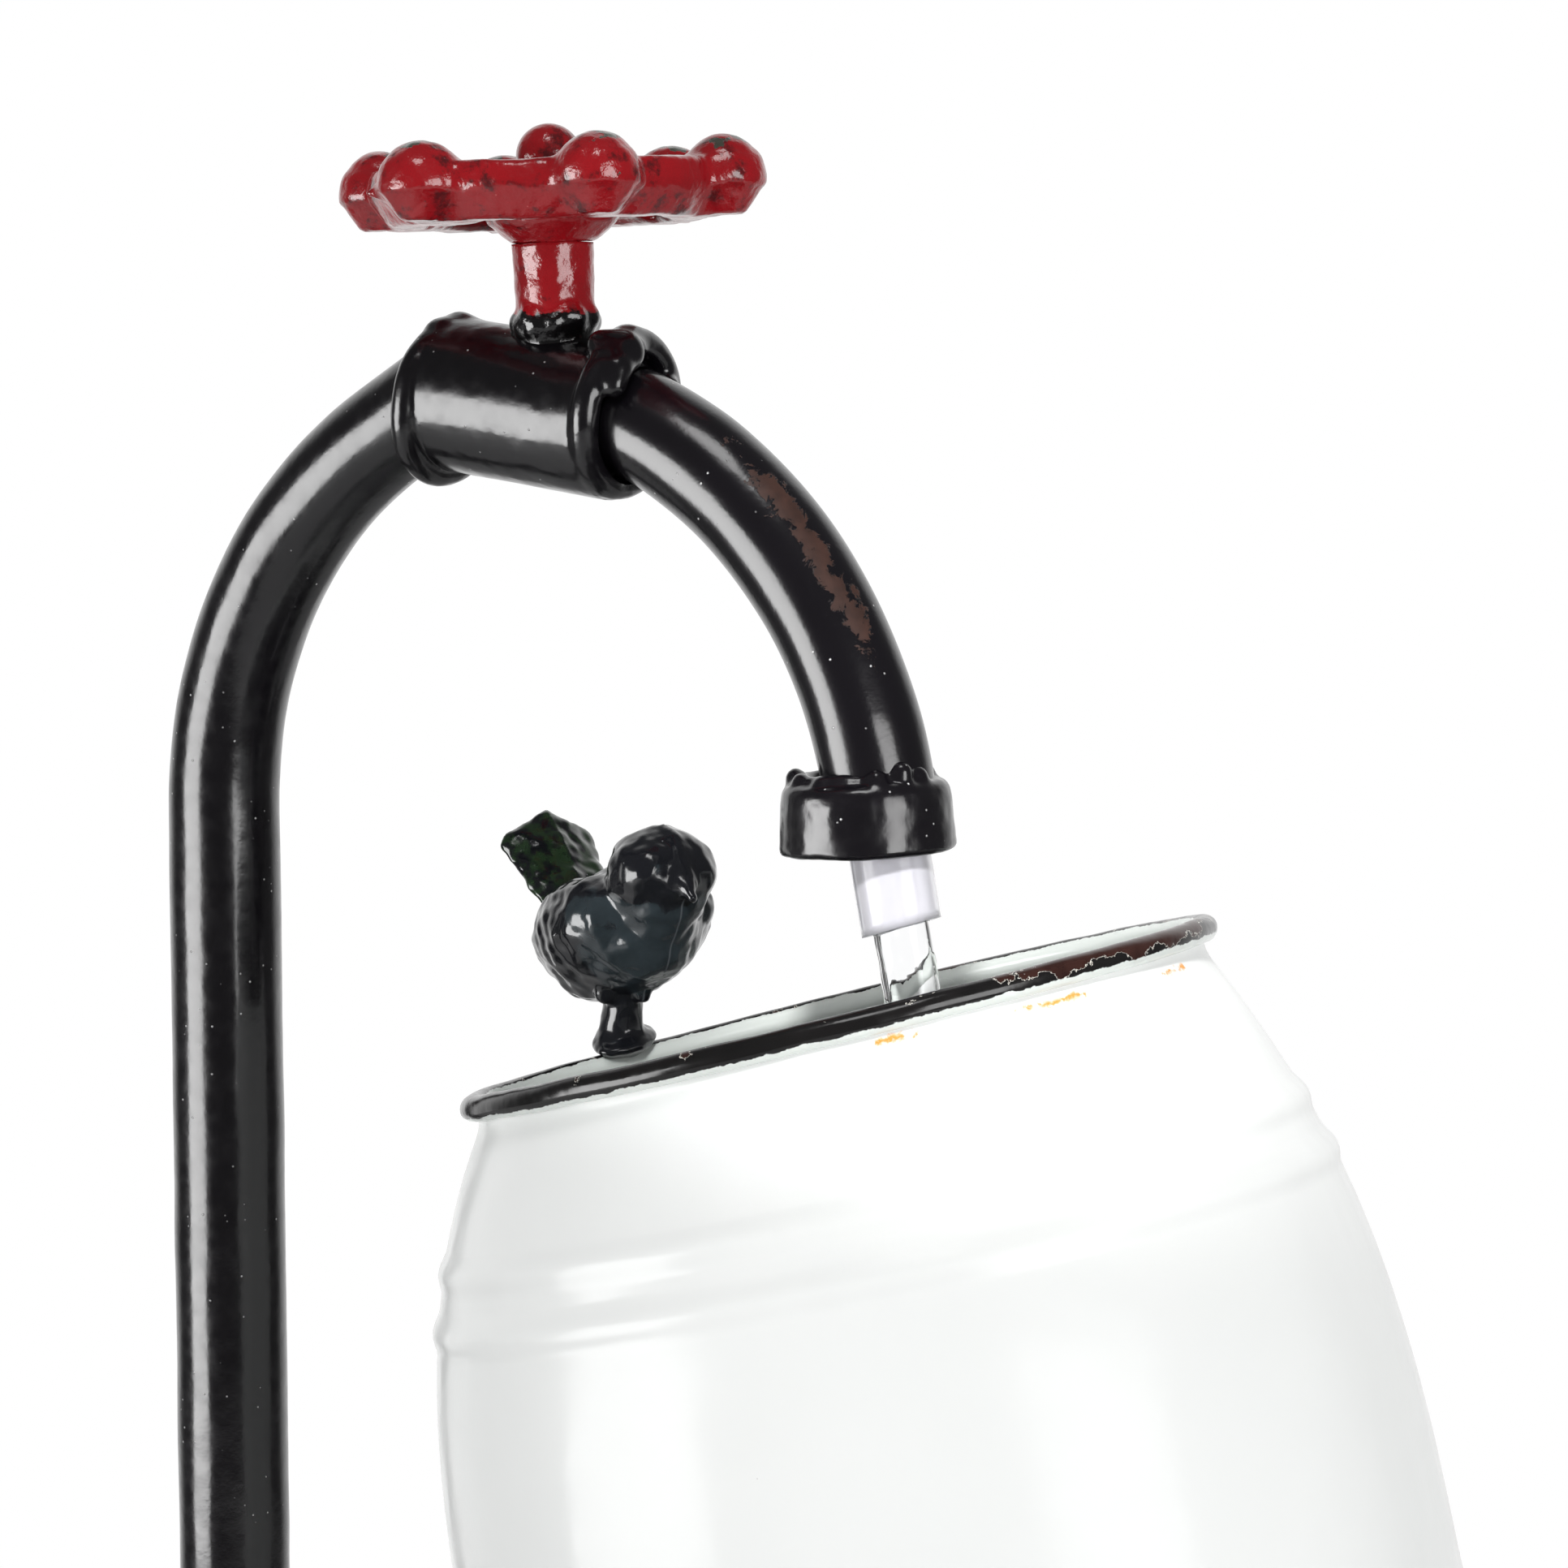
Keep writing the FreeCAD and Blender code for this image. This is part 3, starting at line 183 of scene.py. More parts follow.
def tube(name, stations, radii, around=64, hollow=None, wobble=0.0, scale=18.0, **kind):
    """A tube along stations. radii(distance) gives the radius in the arch's plane and across it.
    hollow is the wall's thickness, or None for a solid bar. UV is metres along and turns around,
    from the inner side of the bend."""
    layers = [1.0]
    outer, inner = [], []
    for spot, angle, gone in stations:
        up = Vector((-math.sin(angle), 0, math.cos(angle)))
        side = Vector((0, 1, 0))
        in_plane, across = radii(gone)
        for layer, shrink in ((outer, 0.0), (inner, hollow or 0.0)):
            for j in range(around):
                turn = math.tau * j / around
                offset = up * (math.cos(turn) * (in_plane - shrink)) + side * (math.sin(turn) * (across - shrink))
                point = spot + offset
                if wobble and not (layer is inner):
                    point += wobble * noise.noise_vector(point / scale)
                layer.append(point)
    count = len(stations)
    faces = rings_to_faces(count, around, closed_ends=hollow is None)
    points = outer
    if hollow is not None:
        shift = len(outer)
        points = outer + inner
        faces += [tuple(reversed([index + shift for index in face])) for face in rings_to_faces(count, around)]
        for ring, flip in ((0, False), (count - 1, True)):
            for j in range(around):
                k = (j + 1) % around
                face = (ring * around + k, ring * around + j, shift + ring * around + j, shift + ring * around + k)
                faces.append(tuple(reversed(face)) if flip else face)
    piece = new_piece(name, points, faces, Matrix.Identity(4), **kind)
    layer = piece.data.uv_layers.new(name="along")
    for loop in piece.data.loops:
        index = loop.vertex_index % len(outer)
        turn = ((index % around) / around + 0.5) % 1.0
        layer.data[loop.index].uv = (stations[index // around][2] * MM, turn)
    return piece


# ---------------------------------------------------------------- soft solids by distance field

def smooth_union(first, second, blend):
    mix = np.clip(0.5 + 0.5 * (second - first) / blend, 0, 1)
    return second * (1 - mix) + first * mix - blend * mix * (1 - mix)


def smooth_common(first, second, blend):
    return -smooth_union(-first, -second, blend)


def ball(p, centre, radius):
    return np.sqrt(sum((p[i] - centre[i]) ** 2 for i in range(3))) - radius


def egg(p, centre, radii, pitch=0.0, yaw=0.0):
    """An ellipsoid, its nose pitched up and yawed left, in degrees."""
    c, s = math.cos(math.radians(yaw)), math.sin(math.radians(yaw))
    x, y, z = (p[i] - centre[i] for i in range(3))
    x, y = x * c + y * s, y * c - x * s
    c, s = math.cos(math.radians(pitch)), math.sin(math.radians(pitch))
    x, z = x * c + z * s, z * c - x * s
    scaled = np.sqrt((x / radii[0]) ** 2 + (y / radii[1]) ** 2 + (z / radii[2]) ** 2)
    steep = np.sqrt((x / radii[0] ** 2) ** 2 + (y / radii[1] ** 2) ** 2 + (z / radii[2] ** 2) ** 2) + 1e-6
    return scaled * (scaled - 1) / steep


def taper(p, low, high, low_radius, high_radius):
    """A round bar between two points whose radius changes evenly."""
    along = [high[i] - low[i] for i in range(3)]
    length = sum(a * a for a in along)
    t = np.clip(sum((p[i] - low[i]) * along[i] for i in range(3)) / length, 0, 1)
    gap = np.sqrt(sum((p[i] - low[i] - t * along[i]) ** 2 for i in range(3)))
    return gap - (low_radius + (high_radius - low_radius) * t)


def solid(name, low, high, step, field, where, rough=(), **kind):
    """Meshes a distance field over a box. rough lists (height, scale) of casting noise."""
    counts = [int((high[i] - low[i]) / step) + 1 for i in range(3)]
    axes = [np.float32(low[i]) + np.arange(counts[i], dtype=np.float32) * np.float32(step) for i in range(3)]
    values = field(np.meshgrid(*axes, indexing="ij", sparse=True))
    grid = openvdb.FloatGrid(1.0)
    grid.copyFromArray(np.array(np.broadcast_to(values, counts), dtype=np.float32))
    points, quads = grid.convertToQuads(0.0)
    points = points.astype(float) * step + np.array(low)
    for height, scale in rough:
        for i, point in enumerate(points):
            points[i] = point + np.array(noise.noise_vector(Vector(point) / scale)) * height
    piece = new_piece(name, points, [tuple(map(int, quad)) for quad in quads], where, **kind)
    smooth = piece.modifiers.new("settle", "SMOOTH")
    smooth.factor = 0.5
    smooth.iterations = 2
    apply_modifiers(piece)
    return piece


def apply_modifiers(piece):
    bpy.context.view_layer.update()
    graph = bpy.context.evaluated_depsgraph_get()
    mesh = bpy.data.meshes.new_from_object(piece.evaluated_get(graph))
    piece.modifiers.clear()
    piece.data = mesh


# ---------------------------------------------------------------- material tools

class Nodes:
    """A material's node tree with short calls for the nodes that the finishes share."""

    def __init__(self, name):
        self.material = bpy.data.materials.new(name)
        self.material.use_nodes = True
        self.tree = self.material.node_tree
        self.shader = self.tree.nodes["Principled BSDF"]
        self.place = self.tree.nodes.new("ShaderNodeTexCoord").outputs["Object"]

    def set(self, **values):
        for name, value in values.items():
            self.shader.inputs[name.replace("_", " ")].default_value = value

    def link(self, source, target):
        self.tree.links.new(source, target)

    def into(self, name, source):
        self.link(source, self.shader.inputs[name])

    def noise(self, size, detail=3.0, rough=0.5, vector=None, distort=0.0):
        """Noise whose features are about size metres across."""
        node = self.tree.nodes.new("ShaderNodeTexNoise")
        node.inputs["Scale"].default_value = 1.0 / size
        node.inputs["Detail"].default_value = detail
        node.inputs["Roughness"].default_value = rough
        node.inputs["Distortion"].default_value = distort
        self.link(vector or self.place, node.inputs["Vector"])
        return node.outputs["Fac"]

    def cells(self, size, vector=None):
        """Distance to the nearest of scattered points about size metres apart."""
        node = self.tree.nodes.new("ShaderNodeTexVoronoi")
        node.inputs["Scale"].default_value = 1.0 / size
        self.link(vector or self.place, node.inputs["Vector"])
        return node.outputs["Distance"]

    def ramp(self, source, low, high, from_value=0.0, to_value=1.0):
        node = self.tree.nodes.new("ShaderNodeMapRange")
        node.interpolation_type = "SMOOTHSTEP"
        for name, value in (("From Min", low), ("From Max", high), ("To Min", from_value), ("To Max", to_value)):
            node.inputs[name].default_value = value
        self.link(source, node.inputs["Value"])
        return node.outputs["Result"]

    def math(self, kind, first, second=None):
        node = self.tree.nodes.new("ShaderNodeMath")
        node.operation = kind
        for socket, value in ((node.inputs[0], first), (node.inputs[1], second)):
            if value is None:
                continue
            if isinstance(value, (int, float)):
                socket.default_value = value
            else:
                self.link(value, socket)
        return node.outputs[0]

    def mix(self, share, first, second):
        """Colour from first to second by share. Colours are triples or sockets."""
        node = self.tree.nodes.new("ShaderNodeMix")
        node.data_type = "RGBA"
        self.link(share, node.inputs["Factor"])
        for socket, value in ((node.inputs["A"], first), (node.inputs["B"], second)):
            pass
        for index, value in ((6, first), (7, second)):
            if isinstance(value, tuple):
                node.inputs[index].default_value = (*value, 1.0)
            else:
                self.link(value, node.inputs[index])
        return node.outputs[2]

    def split(self, vector=None):
        node = self.tree.nodes.new("ShaderNodeSeparateXYZ")
        self.link(vector or self.place, node.inputs[0])
        return node.outputs

    def uv(self):
        return self.tree.nodes.new("ShaderNodeTexCoord").outputs["UV"]

    def bump(self, height, distance, strength=1.0, onto=None):
        node = self.tree.nodes.new("ShaderNodeBump")
        node.inputs["Strength"].default_value = strength
        node.inputs["Distance"].default_value = distance
        self.link(height, node.inputs["Height"])
        if onto:
            self.link(onto, node.inputs["Normal"])
        return node.outputs["Normal"]

    def specks(self, spacing, radius, share):
        """Sparse small dots: 1 in a dot, 0 elsewhere."""
        dots = self.ramp(self.cells(spacing), radius / spacing, 0.0)
        keep = self.ramp(self.noise(spacing * 6, 1.0), share, share + 0.04)
        return self.math("MULTIPLY", dots, keep)

    def window(self, source, low, high, soft):
        """1 between low and high with soft edges."""
        rise = self.ramp(source, low - soft, low + soft)
        fall = self.ramp(source, high - soft, high + soft, 1.0, 0.0)
        return self.math("MULTIPLY", rise, fall)


# ---------------------------------------------------------------- finishes

def gloss_paint(name, colour, speck, roughness=0.17, lumps=0.00018):
    """Thick brushed gloss paint: slow waves, fine orange peel and dust specks."""
    m = Nodes(name)
    dust = m.specks(0.0034, 0.00034, 0.44)
    tone = m.mix(m.noise(0.02, 2.0), tuple(c * 0.75 for c in colour), tuple(c * 1.25 for c in colour))
    m.into("Base Color", m.mix(dust, tone, speck))
    m.into("Roughness", m.ramp(m.noise(0.004, 4.0), 0.3, 0.75, roughness, roughness + 0.1))
    waves = m.bump(m.noise(0.009, 2.0), lumps)
    peel = m.bump(m.noise(0.0009, 2.0), 0.00003, 0.8, waves)
    m.into("Normal", m.bump(dust, 0.00015, 0.6, peel))
    m.set(IOR=1.55, Coat_Weight=0.15, Coat_Roughness=0.10)
    return m


def black_paint():
    return gloss_paint("black_pipe_paint", (0.0034, 0.0028, 0.0040), (0.60, 0.60, 0.60)).material


def worn_spout_paint():
    """The pipe's black, rubbed to bare brown in flakes on the bend's outer side."""
    m = gloss_paint("worn_spout_paint", (0.0034, 0.0028, 0.0040), (0.60, 0.60, 0.60))
    along, around_pipe, _ = m.split(m.uv())
    zone = m.math("MULTIPLY", m.window(along, 0.026, 0.082, 0.014), m.window(around_pipe, 0.37, 0.47, 0.05))
    flakes = m.noise(0.006, 7.0, 0.72, distort=0.5)
    bare = m.ramp(m.math("ADD", flakes, m.math("MULTIPLY", zone, 0.32)), 0.745, 0.765)
    paint = m.shader.inputs["Base Color"].links[0].from_socket
    rust = m.mix(m.noise(0.003, 4.0), (0.009, 0.004, 0.003), (0.048, 0.020, 0.014))
    m.into("Base Color", m.mix(bare, paint, rust))
    m.into("Roughness", m.ramp(bare, 0.0, 1.0, 0.2, 0.5))
    old = m.shader.inputs["Normal"].links[0].from_socket
    m.into("Normal", m.bump(bare, -0.00012, 1.0, old))
    return m.material


def red_paint(name="red_wheel_paint", high_chips=True):
    """Dark red gloss over rough casting, chipped to grey-green on the highest places."""
    m = gloss_paint(name, (0.29, 0.006, 0.010), (0.55, 0.10, 0.10), 0.14, 0.0006)
    paint = m.shader.inputs["Base Color"].links[0].from_socket
    stain = m.ramp(m.noise(0.006, 5.0, 0.7), 0.50, 0.66)
    paint = m.mix(stain, paint, (0.085, 0.006, 0.008))
    grime = m.specks(0.0028, 0.00035, 0.50)
    paint = m.mix(grime, paint, (0.05, 0.012, 0.010))
    edge = m.noise(0.0052, 5.0, 0.6)
    if high_chips:
        edge = m.math("ADD", edge, m.math("MULTIPLY", m.ramp(m.split()[2], 0.0340, 0.0380), 0.27))
    chips = m.ramp(edge, 0.735, 0.75)
    m.into("Base Color", m.mix(chips, paint, (0.055, 0.055, 0.042)))
    old = m.bump(m.noise(0.0024, 3.0), 0.0003, 1.0, m.shader.inputs["Normal"].links[0].from_socket)
    m.into("Normal", m.bump(chips, -0.00015, 1.0, old))
    return m.material


def stem_paint():
    """The wheel's red, its foot dipped in the tap's black with a ragged edge."""
    m = gloss_paint("stem_paint", (0.29, 0.006, 0.010), (0.55, 0.10, 0.10), 0.14, 0.0005)
    paint = m.shader.inputs["Base Color"].links[0].from_socket
    height = m.split()[2]
    edge = m.math("ADD", height, m.math("MULTIPLY", m.noise(0.004, 3.0), 0.006))
    black = m.ramp(edge, 0.0052, 0.0056, 1.0, 0.0)
    stain = m.ramp(m.noise(0.006, 4.0, 0.6), 0.6, 0.72)
    paint = m.mix(stain, paint, (0.12, 0.010, 0.012))
    m.into("Base Color", m.mix(black, paint, (0.003, 0.0026, 0.003)))
    smooth = m.shader.inputs["Normal"].links[0].from_socket
    m.into("Normal", m.bump(m.noise(0.0024, 3.0), 0.0003, 1.0, smooth))
    return m.material


def bird_paint():
    """Blue-black gloss, thin and teal over the breast, greenish on the tail."""
    m = gloss_paint("bird_paint", (0.006, 0.0065, 0.0085), (0.16, 0.17, 0.18), 0.12, 0.0005)
    paint = m.shader.inputs["Base Color"].links[0].from_socket
    forward, _, up = m.split()
    breast = m.math("MULTIPLY", m.ramp(forward, 0.002, 0.010), m.ramp(up, 0.035, 0.039, 1.0, 0.0))
    low_belly = m.ramp(up, 0.010, 0.014)
    breast = m.math("MULTIPLY", breast, low_belly)
    thin = m.ramp(m.math("ADD", m.noise(0.008, 4.0), m.math("MULTIPLY", breast, 0.35)), 0.62, 0.74)
    paint = m.mix(thin, paint, m.mix(m.noise(0.005, 5.0, 0.65), (0.011, 0.015, 0.018), (0.028, 0.039, 0.045)))
    aside = m.math("ABSOLUTE", m.split()[1])
    seam = m.math("MULTIPLY", m.ramp(aside, 0.00012, 0.0003, 1.0, 0.0), breast)
    paint = m.mix(m.math("MULTIPLY", seam, 0.6), paint, (0.11, 0.12, 0.13))
    tail = m.ramp(forward, -0.026, -0.020, 1.0, 0.0)
    moss = m.math("MULTIPLY", tail, m.ramp(m.noise(0.004, 5.0, 0.65), 0.42, 0.56))
    m.into("Base Color", m.mix(moss, paint, (0.014, 0.032, 0.013)))
    return m.material


def patches(m, angle, places):
    """The strongest of some windows of angle round a rim, each (middle, half width, strength) in degrees."""
    total = None
    for middle, half, strength in places:
        low, high = math.radians(middle - half), math.radians(middle + half)
        one = m.math("MULTIPLY", m.window(angle, low, high, math.radians(half * 0.5)), strength)
        total = one if total is None else m.math("MAXIMUM", total, one)
    return total


def white_enamel(name, rust_places=()):
    """Vitreous white over steel: faint clouds, tiny pits, and rust that has crept from under the rim."""
    m = Nodes(name)
    cloud = m.mix(m.noise(0.05, 3.0), (0.81, 0.825, 0.815), (0.86, 0.87, 0.86))
    pits = m.specks(0.011, 0.0003, 0.55)
    colour = m.mix(pits, cloud, (0.35, 0.33, 0.30))
    x, y, z = m.split()
    if rust_places:
        angle = m.math("ARCTAN2", y, x)
        streaks = m.noise(0.0045, 6.0, 0.72, distort=0.6)
        near_rim = m.window(m.math("ADD", z, m.math("MULTIPLY", streaks, 0.004)), -0.0028, -0.0018, 0.0005)
        share = m.math("ADD", m.math("MULTIPLY", patches(m, angle, rust_places), 0.24), m.noise(0.006, 4.0, 0.6))
        rust = m.math("MULTIPLY", near_rim, m.ramp(share, 0.66, 0.74))
        colour = m.mix(rust, colour, (0.80, 0.33, 0.06))
        tan_zone = m.math("MULTIPLY", m.window(z, -0.016, -0.009, 0.003), patches(m, angle, ((-48, 3, 1.0),)))
        tan = m.math("MULTIPLY", tan_zone, m.ramp(m.noise(0.005, 4.0, 0.6), 0.50, 0.58))
        colour = m.mix(m.math("MULTIPLY", tan, 0.3), colour, (0.80, 0.50, 0.25))
    m.into("Base Color", colour)
    m.into("Roughness", m.ramp(m.noise(0.01, 3.0), 0.3, 0.7, 0.16, 0.24))
    waves = m.bump(m.noise(0.03, 2.0), 0.0006)
    m.into("Normal", m.bump(m.noise(0.0012, 2.0), 0.00002, 0.7, waves))
    m.set(IOR=1.25)
    return m.material


def black_enamel(name, bare_places=(), radius=0.0):
    """Rolled rim: brushed black, its inner underside left white, chipped to brown with a pale ragged edge."""
    m = Nodes(name)
    tone = m.mix(m.noise(0.01, 3.0), (0.004, 0.004, 0.004), (0.012, 0.011, 0.011))
    x, y, z = m.split()
    edge = m.noise(0.009, 6.0, 0.65)
    if bare_places:
        angle = m.math("ARCTAN2", y, x)
        edge = m.math("ADD", edge, m.math("MULTIPLY", patches(m, angle, bare_places), 0.29))
        slope = m.math("ADD", m.math("MULTIPLY", x, RIM_SKEW[0]), m.math("MULTIPLY", y, RIM_SKEW[1]))
        z = m.math("SUBTRACT", m.math("SUBTRACT", z, slope), RIM_SKEW[2] * MM)
    edge = m.math("ADD", edge, m.ramp(z, -0.002, 0.0026, -0.14, 0.10))
    bare = m.ramp(edge, 0.72, 0.725)
    pale = m.math("SUBTRACT", m.ramp(edge, 0.710, 0.715), bare)
    tone = m.mix(bare, tone, m.mix(m.noise(0.004, 4.0), (0.014, 0.006, 0.005), (0.045, 0.018, 0.014)))
    tone = m.mix(pale, tone, (0.7, 0.68, 0.62))
    if radius:
        square = m.math("ADD", m.math("MULTIPLY", x, x), m.math("MULTIPLY", y, y))
        inward = m.math("SUBTRACT", radius, m.math("POWER", square, 0.5))
        brushed = m.math("MULTIPLY", m.math("SUBTRACT", m.noise(0.006, 5.0, 0.7), 0.5), 0.0035)
        fold = m.math("ADD", m.math("SUBTRACT", inward, m.math("MULTIPLY", z, 1.1)), brushed)
        tone = m.mix(m.ramp(fold, -0.0010, -0.0007), tone, (0.66, 0.70, 0.67))
    m.into("Base Color", tone)
    m.into("Roughness", m.ramp(m.noise(0.004, 4.0), 0.3, 0.75, 0.13, 0.24))
    lumps = m.bump(m.noise(0.008, 3.0), 0.0002)
    m.into("Normal", m.bump(bare, -0.0001, 1.0, lumps))
    m.set(IOR=1.45)
    return m.material


def clear_hose():
    """Flexible clear plastic, slightly milky, with a faint uneven tone and surface."""
    m = Nodes("clear_hose")
    m.into("Base Color", m.mix(m.noise(0.006, 2.0), (0.74, 0.735, 0.79), (0.83, 0.82, 0.87)))
    m.into("Roughness", m.ramp(m.noise(0.003, 3.0), 0.3, 0.7, 0.10, 0.2))
    m.into("Normal", m.bump(m.noise(0.004, 2.0), 0.0001, 0.5))
    m.set(IOR=1.3, Transmission_Weight=0.35)
    return m.material


def water(name="water"):
    m = Nodes(name)
    m.into("Base Color", m.mix(m.noise(0.02, 1.0), (0.97, 0.98, 0.99), (1.0, 1.0, 1.0)))
    m.into("Roughness", m.ramp(m.noise(0.01, 1.0), 0.3, 0.7, 0.0, 0.01))
    m.into("Normal", m.bump(m.noise(0.006, 2.0), 0.00025, 0.6))
    m.set(IOR=1.2, Transmission_Weight=1.0)
    return m.material


def zinc():
    m = Nodes("zinc_steel")
    m.into("Base Color", m.mix(m.noise(0.004, 4.0), (0.42, 0.42, 0.40), (0.62, 0.61, 0.57)))
    m.into("Roughness", m.ramp(m.noise(0.002, 4.0), 0.3, 0.7, 0.28, 0.5))
    m.into("Normal", m.bump(m.noise(0.0012, 3.0), 0.00005, 0.6))
    m.set(Metallic=1.0)
    return m.material


def moulded(name, colour, grain=0.0006, roughness=0.5):
    """Moulded rubber or plastic with a fine spark-eroded grain."""
    m = Nodes(name)
    m.into("Base Color", m.mix(m.noise(0.008, 3.0), tuple(c * 0.8 for c in colour), tuple(c * 1.2 for c in colour)))
    m.into("Roughness", m.ramp(m.noise(0.003, 3.0), 0.3, 0.7, roughness - 0.08, roughness + 0.08))
    m.into("Normal", m.bump(m.noise(grain, 2.0), 0.00004, 0.8))
    return m.material


BLACK = black_paint()
WORN = worn_spout_paint()
RED = red_paint()
STEM_RED = stem_paint()
NUT_RED = red_paint("red_nut_paint", False)
BIRD_PAINT = bird_paint()
BARREL_WHITE = white_enamel("barrel_enamel", ((-131, 14, 0.8), (-50, 5, 1.0), (-26, 7, 1.0), (2, 4, 1.0)))
TUB_WHITE = white_enamel("tub_enamel")
RIM_BLACK = black_enamel("black_enamel")
MOUTH_BLACK = black_enamel("mouth_enamel", ((-10, 22, 1.0), (106, 7, 1.0)), RIM_RADIUS * MM)
HOSE = clear_hose()
WATER = water()
CAD_LOOKS = {
    "black_pipe_paint": BLACK,
    "red_wheel_paint": NUT_RED,
    "bird_paint": BIRD_PAINT,
    "white_enamel": TUB_WHITE,
    "black_enamel": RIM_BLACK,
    "clear_hose": HOSE,
    "zinc_steel": zinc(),
    "black_rubber": moulded("black_rubber", (0.012, 0.012, 0.013), 0.0008, 0.6),
    "pump_plastic": moulded("pump_plastic", (0.022, 0.024, 0.027)),
    "impeller_plastic": moulded("impeller_plastic", (0.30, 0.32, 0.34)),
    "magnet_coating": moulded("magnet_coating", (0.05, 0.05, 0.055), 0.0004, 0.35),
    "shaft_ceramic": moulded("shaft_ceramic", (0.78, 0.76, 0.70), 0.0003, 0.2),
}


# ---------------------------------------------------------------- pipes

def even(radius):
    return lambda gone: (radius, radius)


def between(table):
    """Radii in and across the arch's plane, eased between (distance, in, across) rows."""
    gone, within, across = (np.array(column) for column in zip(*table))
    return lambda here: (float(np.interp(here, gone, within)), float(np.interp(here, gone, across)))


STAND_RUNS = [(STAND_BEND_Z - STAND_FOOT_Z,), (BEND_RADIUS, STAND_BEND), (NECK_RUN + 4,)]
bend_start = STAND_BEND_Z - STAND_FOOT_Z
bend_length = BEND_RADIUS * math.radians(STAND_BEND)
tube("stand_pipe_skin", route((PIPE_X, STAND_FOOT_Z), 90, STAND_RUNS, 2.0),
     between([(0, 12.7, 12.7), (bend_start - 20, 12.7, 12.7), (bend_start + 40, 12.1, 12.7),
              (bend_start + bend_length, 11.6, 12.3), (bend_start + bend_length + 30, 11.6, 12.2)]),
     hollow=1.5, wobble=0.16, scale=14.0, slot="black_pipe_paint", material=BLACK, replaces=["stand_pipe"])

SPOUT_RUNS = [(4.0,), (BEND_RADIUS, SPOUT_BEND), (SPOUT_TAIL,)]
spout_length = 4.0 + BEND_RADIUS * math.radians(SPOUT_BEND) + SPOUT_TAIL
tube("spout_pipe_skin", route(SPOUT_START, -SPOUT_FALL, SPOUT_RUNS, 1.5),
     between([(0, 11.6, 12.1), (20, 11.8, 12.1), (80, 11.4, 12.1), (spout_length, 11.6, 12.1)]),
     hollow=0.9, wobble=0.16, scale=14.0, slot="black_pipe_paint", material=WORN, replaces=["spout_pipe"])


# ---------------------------------------------------------------- tap body, rings and welds

def in_tap(along, side):
    """A point of the tap body's middle plane: along the flow, and out towards the handwheel's side."""
    return TAP @ (Vector((-side, 0, along)) * MM) / MM


def bead(radius, rod, middle=0.0, lumps=3.0, seed=0.0, growth=0.5):
    """A weld bead ring as a distance field: a torus whose thickness swells unevenly."""
    def field(p):
        reach = np.sqrt(p[0] ** 2 + p[1] ** 2) - radius
        angle = np.arctan2(p[1], p[0])
        swell = growth * (np.sin(angle * lumps + seed) + 0.6 * np.sin(angle * lumps * 2.3 + seed * 2))
        return np.sqrt(reach ** 2 + (p[2] - middle) ** 2) - (rod + swell)
    return field


def tap_field(p):
    """The sleeve with its two end rings and the lumps of weld between ring and pipes."""
    reach = np.sqrt(p[0] ** 2 + p[1] ** 2)
    sleeve = np.maximum(reach - TAP_RADIUS, np.abs(p[2]) - TAP_HALF + 1.0)
    angle = np.arctan2(p[1], -p[0])
    for end, offset, start in ((-1, -RING_OFFSET, 0.7), (1, RING_OFFSET, 2.1)):
        x = p[0] + offset * 1.0
        ring_reach = np.sqrt(x ** 2 + p[1] ** 2) - RING_RADIUS
        height = p[2] - end * TAP_HALF
        ring = np.sqrt(ring_reach ** 2 + height ** 2) - (RING_ROD + 0.12 * np.sin(angle * 5 + start))
        sleeve = smooth_union(sleeve, ring, 0.7)
    for centre, radius in TAP_BLOBS:
        sleeve = smooth_union(sleeve, ball(p, centre, radius), 3.0)
    recess = np.maximum(reach - 12.4, 19.5 - np.abs(p[2]))
    return np.maximum(sleeve, -recess)


TAP_BLOBS = (
    ((-15.5, -6.5, 25.5), 4.4), ((-17.0, -9.0, 21.0), 2.6), ((-12.5, -11.0, 27.5), 3.2), ((-9.0, -13.0, 28.5), 2.2),
    ((-17.5, -2.0, 22.5), 2.8), ((-8.0, 10.0, 27.0), 2.4),
    ((-14.0, 0.5, -22.5), 3.4), ((-13.5, -5.0, -24.0), 2.2), ((-9.0, 9.0, -24.5), 2.4),
)
solid("tap_body_skin", (-22, -22, -31), (22, 22, 31), 0.55, tap_field, TAP, ((0.15, 9.0), (0.05, 2.5)),
      slot="black_pipe_paint", material=BLACK, replaces=["tap_body", "inlet_ring", "outlet_ring"])


# ---------------------------------------------------------------- handwheel, stem and nut

STEM_RADIUS = 8.25
HUB_LOW = 17.2
WHEEL_LOW = 21.3
WHEEL_MID = 28.0
RIM_HIGH = 33.6
RIM_OUT = 39.2
RIM_IN = 27.0
LOBES = 6
LOBE_TURN = 20.0
LOBE_CENTRE = 37.8
LOBE_RADIUS = 9.0


def stem_field(p):
    reach = np.sqrt(p[0] ** 2 + p[1] ** 2)
    bar = np.maximum(reach - STEM_RADIUS - 0.035 * p[2].clip(0, 17), np.abs(p[2] - 8.5) - 8.6)
    spindle = np.maximum(reach - 4.0, np.abs(p[2] - 24.0) - 14.5)
    foot = np.maximum(reach - STEM_RADIUS, np.abs(p[2] + 4.0) - 4.0)
    stem = np.minimum(np.minimum(bar, spindle), foot)
    for angle, height, radius in STEM_BEADS:
        turn = math.radians(angle)
        stem = smooth_union(stem, ball(p, (7.9 * math.cos(turn), 7.9 * math.sin(turn), height), radius), 2.4)
    return stem


